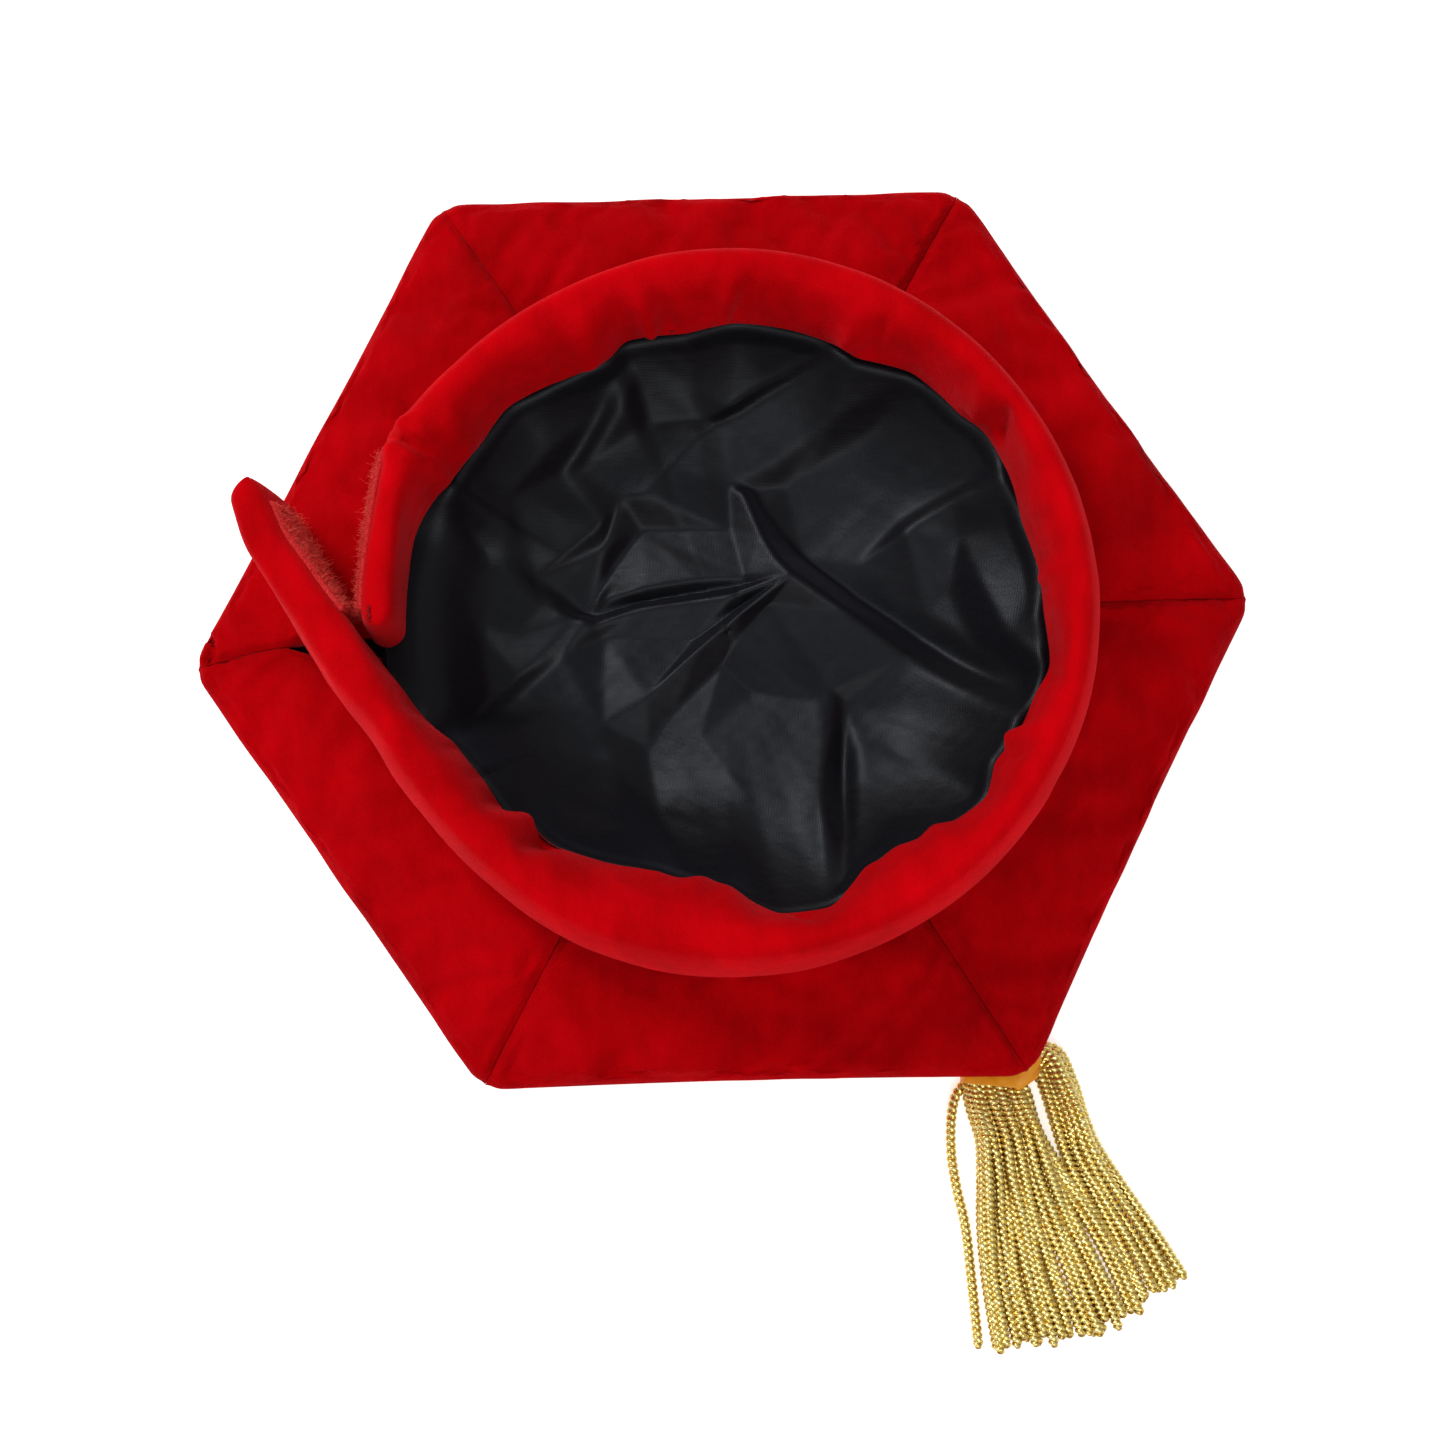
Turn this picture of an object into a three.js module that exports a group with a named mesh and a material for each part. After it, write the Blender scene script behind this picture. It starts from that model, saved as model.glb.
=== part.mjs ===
// Soft six-cornered doctoral tam, lying crown down with its head opening up.
// Millimetres, +Z up, out of the head opening. The crown rests on z = 0 and the origin is under the middle.
import * as THREE from 'three';

// ---- driving dimensions -------------------------------------------------------------------------
// Corners of the crown, clockwise seen from above, starting with the one at the closure.
const CORNERS = [
  [-144.5, 0],
  [-73, 126.8],
  [73, 122.5],
  [144.5, 0.8],
  [74.5, -126.8],
  [-72.5, -121.2],
];
const CLOSURE_CORNER = 0;
const EDGE_BOW = 1.2;          // how far the middle of each edge is drawn in
const EDGE_MID = 125;          // nominal distance from the middle to an edge, the scale of crown sections
const SEAM_GAP = 0.3;          // clearance between neighbouring panels
const VALLEY_WIDTH = 4.6;      // half-width of the furrow that each crown seam pulls in
const SEAM_THICKNESS = 0.8;    // what is left of a padded panel at its seam

const FOOT_RADIUS = 88;        // where the band is sewn to the underside
const FOOT_Z = 27.3;
const RIM_Z = 62;
const BAND_RADIUS = 93;        // centre line of the padded band
const BAND_CENTRE = [1, 0];
const CLOTH = 1.4;             // velvet with its backing
const SLIT_WIDTH = 3.6;        // open end of the back seam, at the band
const SLIT_LENGTH = 0.8;       // how much of the back seam is open, as a share of the panel

const STRAP_ROOT = [-100, -15.5];
const STRAP_TIP = [-127, 36.5];
const STRAP_HALF = 4.4;
const SHORT_ROOT = [-84, 48.5];
const SHORT_TIP = [-92, -1.5];
const SHORT_HALF = 3.6;
const STRAP_TOP_Z = 61.5;
const STRAP_FOOT_Z = 28.8;
const LOOP_TAPE = 1.2;
const HOOK_TAPE = 0.9;
const STRAP_LEAN = 0.2;        // outward, for each millimetre of height, beyond the strap's first third
const STRAP_FLARE = 1.5;       // how much thicker the leaning part is along its foot
const ROOT_CLEARANCE = 1.2;    // between a hinged band end and the fixed band

const BUTTON_RADIUS = 11;
const CORD_RADIUS = 1.5;
const TASSEL_PIVOT = [68.5, -118.6];
const TASSEL_HEADING = -76.4;  // degrees, the way the skirt lies
const HEADER_BACK = 3;
const HEADER_FRONT = 11.5;
const HEADER_LATERAL = [-13.5, 10];
const HEADER_TOP = 6;
const HEADER_WALL = 0.8;

// ---- materials ----------------------------------------------------------------------------------
const finish = (color, roughness, metalness = 0) => (
  () => new THREE.MeshStandardMaterial({ color, roughness, metalness })
);
const velvet = finish(0xb4000a, 0.9);
const taffeta = finish(0x151517, 0.45);
const board = finish(0xd8d2c4, 0.85);
const foam = finish(0xe6e0d0, 0.95);
const loopTape = finish(0xdd2124, 0.95);
const hookTape = finish(0xc81c20, 0.7);
const thread = finish(0x7a0008, 0.8);
const satin = finish(0xe8911c, 0.35);
const bullion = finish(0xbfa658, 0.35, 0.7);

// ---- helpers ------------------------------------------------------------------------------------
const lerp = THREE.MathUtils.lerp;
const radians = THREE.MathUtils.degToRad;

const tam = new THREE.Group();

function piece(name, geometry, material) {
  const mesh = new THREE.Mesh(geometry, material());
  mesh.name = name;
  tam.add(mesh);
  return mesh;
}

function outline(points) {
  return new THREE.Shape(points.map(([x, y]) => new THREE.Vector2(x, y)));
}

function circle(radius, sides) {
  const turn = (2 * Math.PI) / sides;
  return Array.from({ length: sides }, (_, i) => [radius * Math.cos(i * turn), radius * Math.sin(i * turn)]);
}

// Moves every vertex of a geometry to place(x, y, z).
function remap(geometry, place) {
  const position = geometry.attributes.position;
  for (let i = 0; i < position.count; i += 1) {
    const [x, y, z] = place(position.getX(i), position.getY(i), position.getZ(i));
    position.setXYZ(i, x, y, z);
  }
  geometry.deleteAttribute('normal');
  geometry.deleteAttribute('uv');
  geometry.computeVertexNormals();
  return geometry;
}

// Height of a polyline [[x, z], ...] at x, with x rising.
function heightAt(line, x) {
  const last = line.length - 1;
  if (x <= line[0][0]) return line[0][1];
  for (let i = 1; i <= last; i += 1) {
    const [x0, z0] = line[i - 1];
    const [x1, z1] = line[i];
    if (x <= x1) return lerp(z0, z1, (x - x0) / (x1 - x0));
  }
  return line[last][1];
}

// ---- the crown's plan ---------------------------------------------------------------------------
function corner(index) {
  const [x, y] = CORNERS[(index + CORNERS.length) % CORNERS.length];
  return new THREE.Vector2(x, y);
}

// A point of one edge, from its first corner (s = 0) to its second (s = 1).
function edgePoint(side, s) {
  const a = corner(side);
  const b = corner(side + 1);
  const inward = new THREE.Vector2(b.y - a.y, a.x - b.x).normalize();
  return a.lerp(b, s).addScaledVector(inward, EDGE_BOW * Math.sin(Math.PI * s));
}

// A point of a circle that shares the seams' directions with the crown.
function circlePoint(side, s, radius) {
  const first = corner(side).angle();
  let second = corner(side + 1).angle();
  if (second > first) second -= 2 * Math.PI;
  const angle = lerp(first, second, s);
  return new THREE.Vector2(radius * Math.cos(angle), radius * Math.sin(angle));
}

// Distance from the middle to the crown's edge in one direction.
function edgeRadius(angle) {
  const direction = new THREE.Vector2(Math.cos(angle), Math.sin(angle));
  for (let side = 0; side < CORNERS.length; side += 1) {
    const a = corner(side);
    const b = corner(side + 1);
    if (a.cross(direction) <= 0 && b.cross(direction) >= 0 && a.dot(direction) > 0) {
      const along = b.clone().sub(a);
      return a.cross(along) / direction.cross(along);
    }
  }
  return EDGE_MID;
}

// One of six panels: a section (share of the way from an inner circle to the edge, height) carried from
// seam to seam. seamInset(share, end) is the clearance at a seam, and shape(share, z, toSeam) the height.
function panel(side, section, innerRadius, seamInset, shape, lateral) {
  const stations = lateral + 2;
  const steps = { depth: stations, steps: stations, bevelEnabled: false };
  const geometry = new THREE.ExtrudeGeometry(outline(section), steps);
  return remap(geometry, (share, z, station) => {
    const at = (s) => circlePoint(side, s, innerRadius).lerp(edgePoint(side, s), share);
    const width = at(0).distanceTo(at(1));
    const valley = Math.min(VALLEY_WIDTH, width / 3) / width;
    const first = seamInset(share, 0) / width;
    const last = 1 - seamInset(share, 1) / width;
    const step = Math.round(station);
    let s = lerp(first + valley, last - valley, (step - 1) / lateral);
    if (step === 0) s = first;
    if (step === stations) s = last;
    const atSeam = step === 0 || step === stations;
    const p = at(s);
    return [p.x, p.y, shape(share, z, atSeam)];
  });
}

// A turned shape whose radius grows from a circle at the band's foot to the crown's six-sided edge.
// Radii up to FOOT_RADIUS stay round, and EDGE_MID lies on the edge.
function crownTurned(profile, segments) {
  const points = profile.map(([x, z]) => new THREE.Vector2(x, z));
  const geometry = new THREE.LatheGeometry(points, segments);
  return remap(geometry, (x, z, y) => {
    const radius = Math.hypot(x, y);
    const beyond = Math.max(0, radius - FOOT_RADIUS) / (EDGE_MID - FOOT_RADIUS);
    if (beyond === 0) return [x, -y, z];
    const angle = Math.atan2(-y, x);
    const placed = lerp(FOOT_RADIUS, edgeRadius(angle), beyond);
    return [placed * Math.cos(angle), placed * Math.sin(angle), z];
  });
}

// ---- crown: padded top panels, stiffener, lining, button ------------------------------------------
// Heights against the share of the way from the middle to the edge. The dimple round the button comes first.
const CROWN_HOLE = 4.5;
const TOP_FACE = [
  [0, 8.2], [0.08, 8], [0.15, 0.6], [0.18, 0], [0.8, 0], [0.86, 1.2], [0.91, 4], [0.96, 8.8], [0.99, 12.4], [1, 14.4],
];
const TOP_BACK = [
  [0, 9.8], [0.11, 9.8], [0.18, 5], [0.8, 5], [0.86, 6.2], [0.91, 8.6], [0.95, 12], [0.985, 14.4],
];

function crownTopPanel(side) {
  const section = [...TOP_FACE, ...TOP_BACK.toReversed()];
  const furrow = (share, z, atSeam) => {
    const back = heightAt(TOP_BACK, share);
    const onBack = z > back - SEAM_THICKNESS;
    return atSeam && !onBack ? back - SEAM_THICKNESS : z;
  };
  return panel(side, section, CROWN_HOLE, () => SEAM_GAP / 2, furrow, 5);
}

const UNDER_FACE = [[0, FOOT_Z], [0.25, 25.3], [0.5, 22.9], [0.75, 20.2], [0.9, 18], [0.97, 16.4], [1, 14.8]];
const UNDER_BACK = UNDER_FACE.slice(0, -1).map(([share, z]) => [share, z - CLOTH]);

function slitInset(side) {
  return (share, end) => {
    const atClosure = (side + end) % CORNERS.length === CLOSURE_CORNER;
    const open = Math.max(0, 1 - share / SLIT_LENGTH);
    return (SEAM_GAP + (atClosure ? SLIT_WIDTH * open : 0)) / 2;
  };
}

function undersidePanel(side) {
  const section = [...UNDER_BACK, ...UNDER_FACE.toReversed()];
  return panel(side, section, FOOT_RADIUS, slitInset(side), (share, z) => z, 5);
}

const INTERLINING_TOP = 1.8;
const INTERLINING_BOTTOM = 4.6;

function undersideInterlining(side) {
  const reach = UNDER_FACE.filter(([share]) => share < 0.8);
  const top = reach.map(([share, z]) => [share, z - INTERLINING_TOP]);
  const bottom = reach.map(([share, z]) => [share, z - INTERLINING_BOTTOM]);
  return panel(side, [...bottom, ...top.toReversed()], FOOT_RADIUS, slitInset(side), (share, z) => z, 5);
}

const PANEL_COUNT = CORNERS.length;
for (let side = 0; side < PANEL_COUNT; side += 1) {
  piece(`crown_top_panel_${side + 1}`, crownTopPanel(side), velvet);
  piece(`underside_panel_${side + 1}`, undersidePanel(side), velvet);
  piece(`underside_interlining_${side + 1}`, undersideInterlining(side), foam);
}

// Buckram board that keeps the crown flat, with a round hole over the button's dimple.
const STIFFENER_REACH = 0.76;
const STIFFENER_HOLE = 31;
const stiffenerShape = new THREE.Shape(CORNERS.map((c, i) => corner(i).multiplyScalar(STIFFENER_REACH)));
stiffenerShape.holes.push(outline(circle(STIFFENER_HOLE, 24)));
const stiffenerGeometry = new THREE.ExtrudeGeometry(stiffenerShape, { depth: 1.5, bevelEnabled: false });
piece('crown_stiffener', stiffenerGeometry, board).position.z = 5.4;

// Loose taffeta lining in two pieces: a tip over the board, and a side piece from the crown's edge back under
// the underside and up to the band.
const LINING_TIP = [
  [0, 11.2], [18, 11.2], [26, 7.9], [100, 7.9], [112, 9.5], [115.6, 11.2],
  [114.4, 12], [111.6, 10.7], [100, 9.1], [26.4, 9.1], [18.2, 12.4], [0, 12.4],
];
const LINING_SIDE = [
  [116.6, 12], [112, 15], [100, 17.2], [90, 19.6], [86.6, 21.5], [83.2, 28.5], [82.6, 37.4],
  [81.4, 37.3], [82, 28.2], [85.4, 20.6], [90, 18.2], [100, 15.9], [110.5, 13.8], [115.2, 12.4], [116.6, 12],
];
const LINING_SEGMENTS = 36;
piece('lining_tip', crownTurned(LINING_TIP, LINING_SEGMENTS), taffeta);
piece('lining_side', crownTurned(LINING_SIDE, LINING_SEGMENTS), taffeta);

const BUTTON = [[0, 0.4], [6, 0.6], [10, 1.8], [BUTTON_RADIUS, 3.2], [9.5, 4.4], [3.2, 4.7], [3.2, 7.2], [0, 7.2]];
const BUTTON_BACK = [[0, 7.5], [3, 7.5], [3, 10.1], [8, 10.1], [8, 10.9], [0, 10.9]];

function turned(profile, segments) {
  const geometry = new THREE.LatheGeometry(profile.map(([x, z]) => new THREE.Vector2(x, z)), segments);
  return remap(geometry, (x, z, y) => [x, -y, z]);
}

piece('crown_button', turned(BUTTON, 24), velvet);
piece('crown_button_shank', turned(BUTTON_BACK, 16), hookTape);

// ---- padded headband ------------------------------------------------------------------------------
// Sections are [outward, height] from the band's centre line.
const BAND_FACE = [
  [-4.6, FOOT_Z + 0.4], [0.6, 31], [4, 37], [5.4, 45], [4.8, 53], [3.2, 59], [2, RIM_Z],
  [-2, RIM_Z], [-4.2, 59], [-6.2, 52], [-8, 44], [-9, 38],
];
const BAND_INSIDE = [
  [-7.6, 38], [-6.6, 44.2], [-4.8, 51.6], [-3, 57.6], [-1.4, RIM_Z - 1.5],
  [1.4, RIM_Z - 1.5], [2, 58.2], [3.4, 52.6], [4, 45.2], [2.7, 37.8], [-0.4, 32.4], [-4.2, 29.4],
];
const BAND_FOAM = [
  [-6.9, 38.4], [-5.9, 44.3], [-4.2, 51.4], [-2.5, 57.2], [-1, 60], [1, 60], [1.5, 58], [3, 52.4], [3.5, 45.2],
  [2.3, 38.2], [-0.7, 33], [-4, 30.2],
];

// A solid of constant section along a flat path. Positive x of the section is left of the way the path runs.
// lean(x, z, t) is the sideways place of a section point at t.
function along(path, section, steps, from = 0, to = 1, lean = (x) => x) {
  const geometry = new THREE.ExtrudeGeometry(outline(section), { depth: 1, steps, bevelEnabled: false });
  return remap(geometry, (x, z, share) => {
    const t = lerp(from, to, share);
    const p = path.getPointAt(t);
    const tangent = path.getTangentAt(t);
    const aside = lean(x, z, t);
    return [p.x - tangent.y * aside, p.y + tangent.x * aside, z];
  });
}

function bandPoint(azimuth, radius = BAND_RADIUS) {
  const angle = radians(azimuth);
  const [x, y] = BAND_CENTRE;
  return new THREE.Vector3(x + radius * Math.cos(angle), y + radius * Math.sin(angle), 0);
}

function flatPoint([x, y]) {
  return new THREE.Vector3(x, y, 0);
}

const RING_AZIMUTHS = [120, 100, 80, 60, 40, 20, 0, -20, -40, -60, -80, -100, -120, -140];
const ringPath = new THREE.CatmullRomCurve3([
  flatPoint(SHORT_ROOT),
  bandPoint(136, 94.5),
  ...RING_AZIMUTHS.map((azimuth) => bandPoint(azimuth)),
  bandPoint(-155, 94.5),
  new THREE.Vector3(-92.3, -26, 0),
  flatPoint(STRAP_ROOT),
]);
const RING_STEPS = 40;
const ringLength = ringPath.getLength();
const ringStart = (SHORT_HALF + ROOT_CLEARANCE) / ringLength;
const ringEnd = 1 - (STRAP_HALF + ROOT_CLEARANCE) / ringLength;
piece('headband_cover', along(ringPath, [...BAND_FACE, ...BAND_INSIDE], RING_STEPS, ringStart, ringEnd), velvet);
piece('headband_foam', along(ringPath, BAND_FOAM, RING_STEPS, ringStart, ringEnd), foam);

// ---- closure: long strap outside, short end inside --------------------------------------------------
// A folded velvet channel, open along its foot, over a foam strip.
function channel(half) {
  const inside = half - CLOTH;
  const shoulder = STRAP_TOP_Z - 2.4;
  const ceiling = STRAP_TOP_Z - CLOTH;
  return [
    [half, STRAP_FOOT_Z], [half, shoulder], [half - 2.4, STRAP_TOP_Z], [2.4 - half, STRAP_TOP_Z], [-half, shoulder],
    [-half, STRAP_FOOT_Z], [-inside, STRAP_FOOT_Z], [-inside, shoulder], [1 - inside, ceiling], [inside - 1, ceiling],
    [inside, shoulder], [inside, STRAP_FOOT_Z],
  ];
}

function core(half) {
  const side = half - CLOTH - 0.3;
  const top = STRAP_TOP_Z - CLOTH - 0.5;
  return [
    [side, STRAP_FOOT_Z + 0.8], [side, top - 2], [side - 1, top], [1 - side, top], [-side, top - 2],
    [-side, STRAP_FOOT_Z + 0.8],
  ];
}

function tapeStrip(inner, outer, low, high) {
  return [[outer, low], [outer, high], [inner, high], [inner, low]];
}

const strapPath = new THREE.CatmullRomCurve3([
  flatPoint(STRAP_ROOT),
  new THREE.Vector3(-107.5, -2.5, 0),
  new THREE.Vector3(-116, 10.5, 0),
  new THREE.Vector3(-122.8, 22, 0),
  flatPoint(STRAP_TIP),
]);

// The strap stands upright at its root and falls outward towards its tip, so its foot comes in.
function strapLean(x, z, t) {
  const ramp = THREE.MathUtils.smoothstep(t, 0.3, 0.7);
  const below = STRAP_TOP_Z - z;
  const flare = x < 0 ? (STRAP_FLARE * below) / (STRAP_TOP_Z - STRAP_FOOT_Z) : 0;
  return x - ramp * (STRAP_LEAN * below + flare);
}

const LOOP_INNER = -STRAP_HALF - LOOP_TAPE - 0.3;
const LOOP_OUTER = -STRAP_HALF - 0.3;
const loopTapeSection = tapeStrip(LOOP_INNER, LOOP_OUTER, 33, 57);
piece('closure_strap_cover', along(strapPath, channel(STRAP_HALF), 12, 0, 1, strapLean), velvet);
piece('closure_strap_foam', along(strapPath, core(STRAP_HALF), 12, 0.01, 0.985, strapLean), foam);
piece('closure_loop_tape', along(strapPath, loopTapeSection, 12, 0.36, 0.97, strapLean), loopTape);

const shortPath = new THREE.CatmullRomCurve3([
  flatPoint(SHORT_TIP),
  new THREE.Vector3(-91.4, 12, 0),
  new THREE.Vector3(-88.6, 30, 0),
  flatPoint(SHORT_ROOT),
]);
const HOOK_INNER = SHORT_HALF + 0.3;
const HOOK_OUTER = HOOK_INNER + HOOK_TAPE;
piece('short_end_cover', along(shortPath, channel(SHORT_HALF), 8), velvet);
piece('short_end_foam', along(shortPath, core(SHORT_HALF), 8, 0.015, 0.99), foam);
piece('short_end_hook_tape', along(shortPath, tapeStrip(HOOK_INNER, HOOK_OUTER, 33, 57), 8, 0.06, 0.95), hookTape);

// Thread bar that stops the end of the short band from fraying, on its inner face.
const BARTACK_AT = 0.1;
const bartackSection = tapeStrip(-SHORT_HALF - 1.1, -SHORT_HALF - 0.3, 44, 58);
piece('short_end_bartack', along(shortPath, bartackSection, 1, BARTACK_AT, BARTACK_AT + 0.04), thread);

// ---- tassel -----------------------------------------------------------------------------------------
function tube(points, radius, steps) {
  const path = new THREE.CatmullRomCurve3(points);
  return new THREE.ExtrudeGeometry(outline(circle(radius, 8)), { extrudePath: path, steps, bevelEnabled: false });
}

// Silk cord from the button's neck along the furrow of a crown seam to the tassel's corner.
const seamHeading = corner(4).normalize();
const seamPoint = (distance, z) => new THREE.Vector3(seamHeading.x * distance, seamHeading.y * distance, z);
const HANGER_ROUTE = [
  [5.2, 6.2], [10, 6.2], [15, 5], [20, 2.6], [26, 1.6], [40, 1.6], [70, 1.6], [100, 1.6], [120, 1.6], [134.2, 1.6],
];
piece('tassel_hanger_cord', tube(HANGER_ROUTE.map(([d, z]) => seamPoint(d, z)), CORD_RADIUS, 20), satin);

// The tassel's own frame: t along the skirt, l to its left, from the knot at the end of the hanger cord.
const heading = new THREE.Vector2(Math.cos(radians(TASSEL_HEADING)), Math.sin(radians(TASSEL_HEADING)));
function tasselPoint(t, l, z) {
  const [x, y] = TASSEL_PIVOT;
  return [x + heading.x * t - heading.y * l, y + heading.y * t + heading.x * l, z];
}

const KNOT_RADIUS = 2;
const knot = new THREE.SphereGeometry(KNOT_RADIUS, 12, 8);
knot.translate(TASSEL_PIVOT[0], TASSEL_PIVOT[1], KNOT_RADIUS);
piece('tassel_knot', knot, satin);

// A flattened round-ended section from l0 to l1 and from z0 to z1.
function pill(l0, l1, z0, z1, kind = THREE.Shape) {
  const r = (z1 - z0) / 2;
  const shape = new kind();
  shape.absarc(l1 - r, z0 + r, r, -Math.PI / 2, Math.PI / 2, false);
  shape.absarc(l0 + r, z0 + r, r, Math.PI / 2, 1.5 * Math.PI, false);
  return shape;
}

function inTassel(shape, t0, t1, steps = 1) {
  const geometry = new THREE.ExtrudeGeometry(shape, { depth: t1 - t0, steps, curveSegments: 6, bevelEnabled: false });
  return remap(geometry, (l, z, t) => tasselPoint(t0 + t, l, z));
}

const [headerLeft, headerRight] = HEADER_LATERAL;
const HEADER_FOOT = 0.2;
const ribbon = pill(headerLeft, headerRight, HEADER_FOOT, HEADER_TOP);
const inset = HEADER_WALL;
ribbon.holes.push(pill(headerLeft + inset, headerRight - inset, HEADER_FOOT + inset, HEADER_TOP - inset, THREE.Path));
piece('tassel_ribbon_header', inTassel(ribbon, HEADER_BACK, HEADER_FRONT), satin);

const pad = HEADER_WALL + 0.3;
const neck = pill(headerLeft + pad, headerRight - pad, HEADER_FOOT + pad, HEADER_TOP - pad);
piece('tassel_neck', inTassel(neck, HEADER_BACK + 0.2, HEADER_FRONT - 0.2), bullion);

// Skirt of bullion loops, in three layers with the lowest on the table. Each guide is a route [t, l], from the neck
// to the tips: one loose strand on the left, then the two sides of a wide middle part and of a sheaf on the right.
const LONE_STRAND = [[13, -18.6], [22.8, -22], [32, -23.4], [42.1, -24.4], [57.2, -27.3], [75.1, -30.8]];
const MIDDLE_LEFT = [[13, -13.2], [22, -13.6], [32, -16], [43, -19.6], [58, -23.4], [78.6, -26]];
const MIDDLE_RIGHT = [[13, 1.8], [24, 2.4], [36, 2.6], [48, 4.2], [62, 6.6], [81, 9.4]];
const SHEAF_LEFT = [[13, 7.6], [24, 7.7], [34, 7.8], [46, 9.8], [60, 12], [77.5, 13.6]];
const SHEAF_RIGHT = [[13, 16], [23, 16.1], [32, 15.9], [46, 19.8], [60, 24], [73.4, 27.7]];
const LONE = { left: LONE_STRAND, right: LONE_STRAND };
const MIDDLE = { left: MIDDLE_LEFT, right: MIDDLE_RIGHT };
const SHEAF = { left: SHEAF_LEFT, right: SHEAF_RIGHT };
// Each layer's strands, as places from 0 at a part's left side to 1 at its right side.
const SKIRT_LAYERS = [
  { z: 1.6, parts: [[LONE, [0]], [MIDDLE, [0, 0.25, 0.5, 0.75, 1]], [SHEAF, [0, 0.5, 1]]] },
  { z: 4.9, parts: [[MIDDLE, [0.125, 0.375, 0.625, 0.875]], [SHEAF, [0.25, 0.75]]] },
  { z: 8.2, parts: [[MIDDLE, [0.2, 0.4, 0.6, 0.8]], [SHEAF, [0.5]]] },
];
const STRAND_RADIUS = 1.5;
let strandNumber = 0;
function addStrand({ left, right }, place, z) {
  const points = left.map(([t, l], i) => (
    new THREE.Vector3(...tasselPoint(lerp(t, right[i][0], place), lerp(l, right[i][1], place), z))
  ));
  strandNumber += 1;
  piece(`tassel_strand_${String(strandNumber).padStart(2, '0')}`, tube(points, STRAND_RADIUS, 12), bullion);
}
for (const { z, parts } of SKIRT_LAYERS) {
  for (const [part, places] of parts) {
    places.forEach((place) => addStrand(part, place, z));
  }
}

export default tam;
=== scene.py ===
"""Looks for a doctoral tam that lies on its crown. Shapes are worked out in mm and made in metres."""
import math

import bmesh
import bpy
import numpy as np
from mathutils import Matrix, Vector
from mathutils.geometry import delaunay_2d_cdt


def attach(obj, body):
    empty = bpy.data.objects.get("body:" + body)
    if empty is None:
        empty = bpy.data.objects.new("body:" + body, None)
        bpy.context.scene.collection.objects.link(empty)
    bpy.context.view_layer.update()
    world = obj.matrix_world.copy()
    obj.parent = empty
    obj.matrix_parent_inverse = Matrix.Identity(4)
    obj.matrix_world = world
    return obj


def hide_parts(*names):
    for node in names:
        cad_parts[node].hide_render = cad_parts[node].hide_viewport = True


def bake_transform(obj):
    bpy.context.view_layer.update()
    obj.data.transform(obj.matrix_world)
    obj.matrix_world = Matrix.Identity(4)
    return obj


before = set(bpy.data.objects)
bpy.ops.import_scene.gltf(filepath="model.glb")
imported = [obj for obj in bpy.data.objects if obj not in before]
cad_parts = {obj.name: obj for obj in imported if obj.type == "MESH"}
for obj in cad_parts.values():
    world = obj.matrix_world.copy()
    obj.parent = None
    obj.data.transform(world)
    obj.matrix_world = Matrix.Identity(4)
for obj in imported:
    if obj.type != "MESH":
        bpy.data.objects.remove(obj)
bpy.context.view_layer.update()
scene = bpy.context.scene
MM = 0.001
UP = (0, 0, 1)


# ---- camera -------------------------------------------------------------------------------------
def add_camera():
    azimuth, elevation, distance = math.radians(-3.44), math.radians(80), 0.9
    target = Vector((-0.00275, -0.02616, 0.02))
    back = Vector((
        math.sin(azimuth) * math.cos(elevation),
        -math.cos(azimuth) * math.cos(elevation),
        math.sin(elevation),
    ))
    lens = bpy.data.cameras.new("camera")
    lens.sensor_width = 36
    lens.lens = 81.88
    lens.clip_start, lens.clip_end = 0.05, 50
    camera = bpy.data.objects.new("camera", lens)
    camera.location = target + back * distance
    camera.rotation_mode = "QUATERNION"
    camera.rotation_quaternion = (-back).to_track_quat("-Z", "Y")
    scene.collection.objects.link(camera)
    scene.camera = camera


add_camera()


# ---- numbers and curves ---------------------------------------------------------------------------
def lerp(a, b, t):
    return a + (b - a) * t


def ramp(x, low=0.0, high=1.0):
    """0 below low, 1 above high, smooth between."""
    t = np.clip((np.asarray(x, float) - low) / (high - low), 0, 1)
    return t * t * (3 - 2 * t)


def bell(x, width):
    """1 at 0, and falling to 0 on both sides."""
    return np.exp(-((x / width) ** 2))


def unit(vectors):
    return vectors / np.linalg.norm(vectors, axis=-1, keepdims=True)


def circle(count):
    """Angles evenly round a circle."""
    return np.linspace(0, 2 * math.pi, count, endpoint=False)


def polar(radius, angle, *height):
    """Points at a radius and an angle, and at a height where one is given."""
    return np.stack(np.broadcast_arrays(radius * np.cos(angle), radius * np.sin(angle), *height), -1)


def distance_along(line):
    return np.r_[0, np.cumsum(np.linalg.norm(np.diff(line, axis=0), axis=1))]


def waves(points, size, seed, count=9):
    """Smooth noise from about -1 to 1, with bumps about size mm across."""
    rng = np.random.default_rng(seed)
    heading = unit(rng.normal(size=(count, 3)))
    rate = 2 * math.pi / (size * rng.uniform(0.8, 2.0, count))
    phase = rng.uniform(0, 2 * math.pi, count)
    return np.sin(np.asarray(points) @ (heading * rate[:, None]).T + phase).mean(-1) * 1.7


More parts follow.
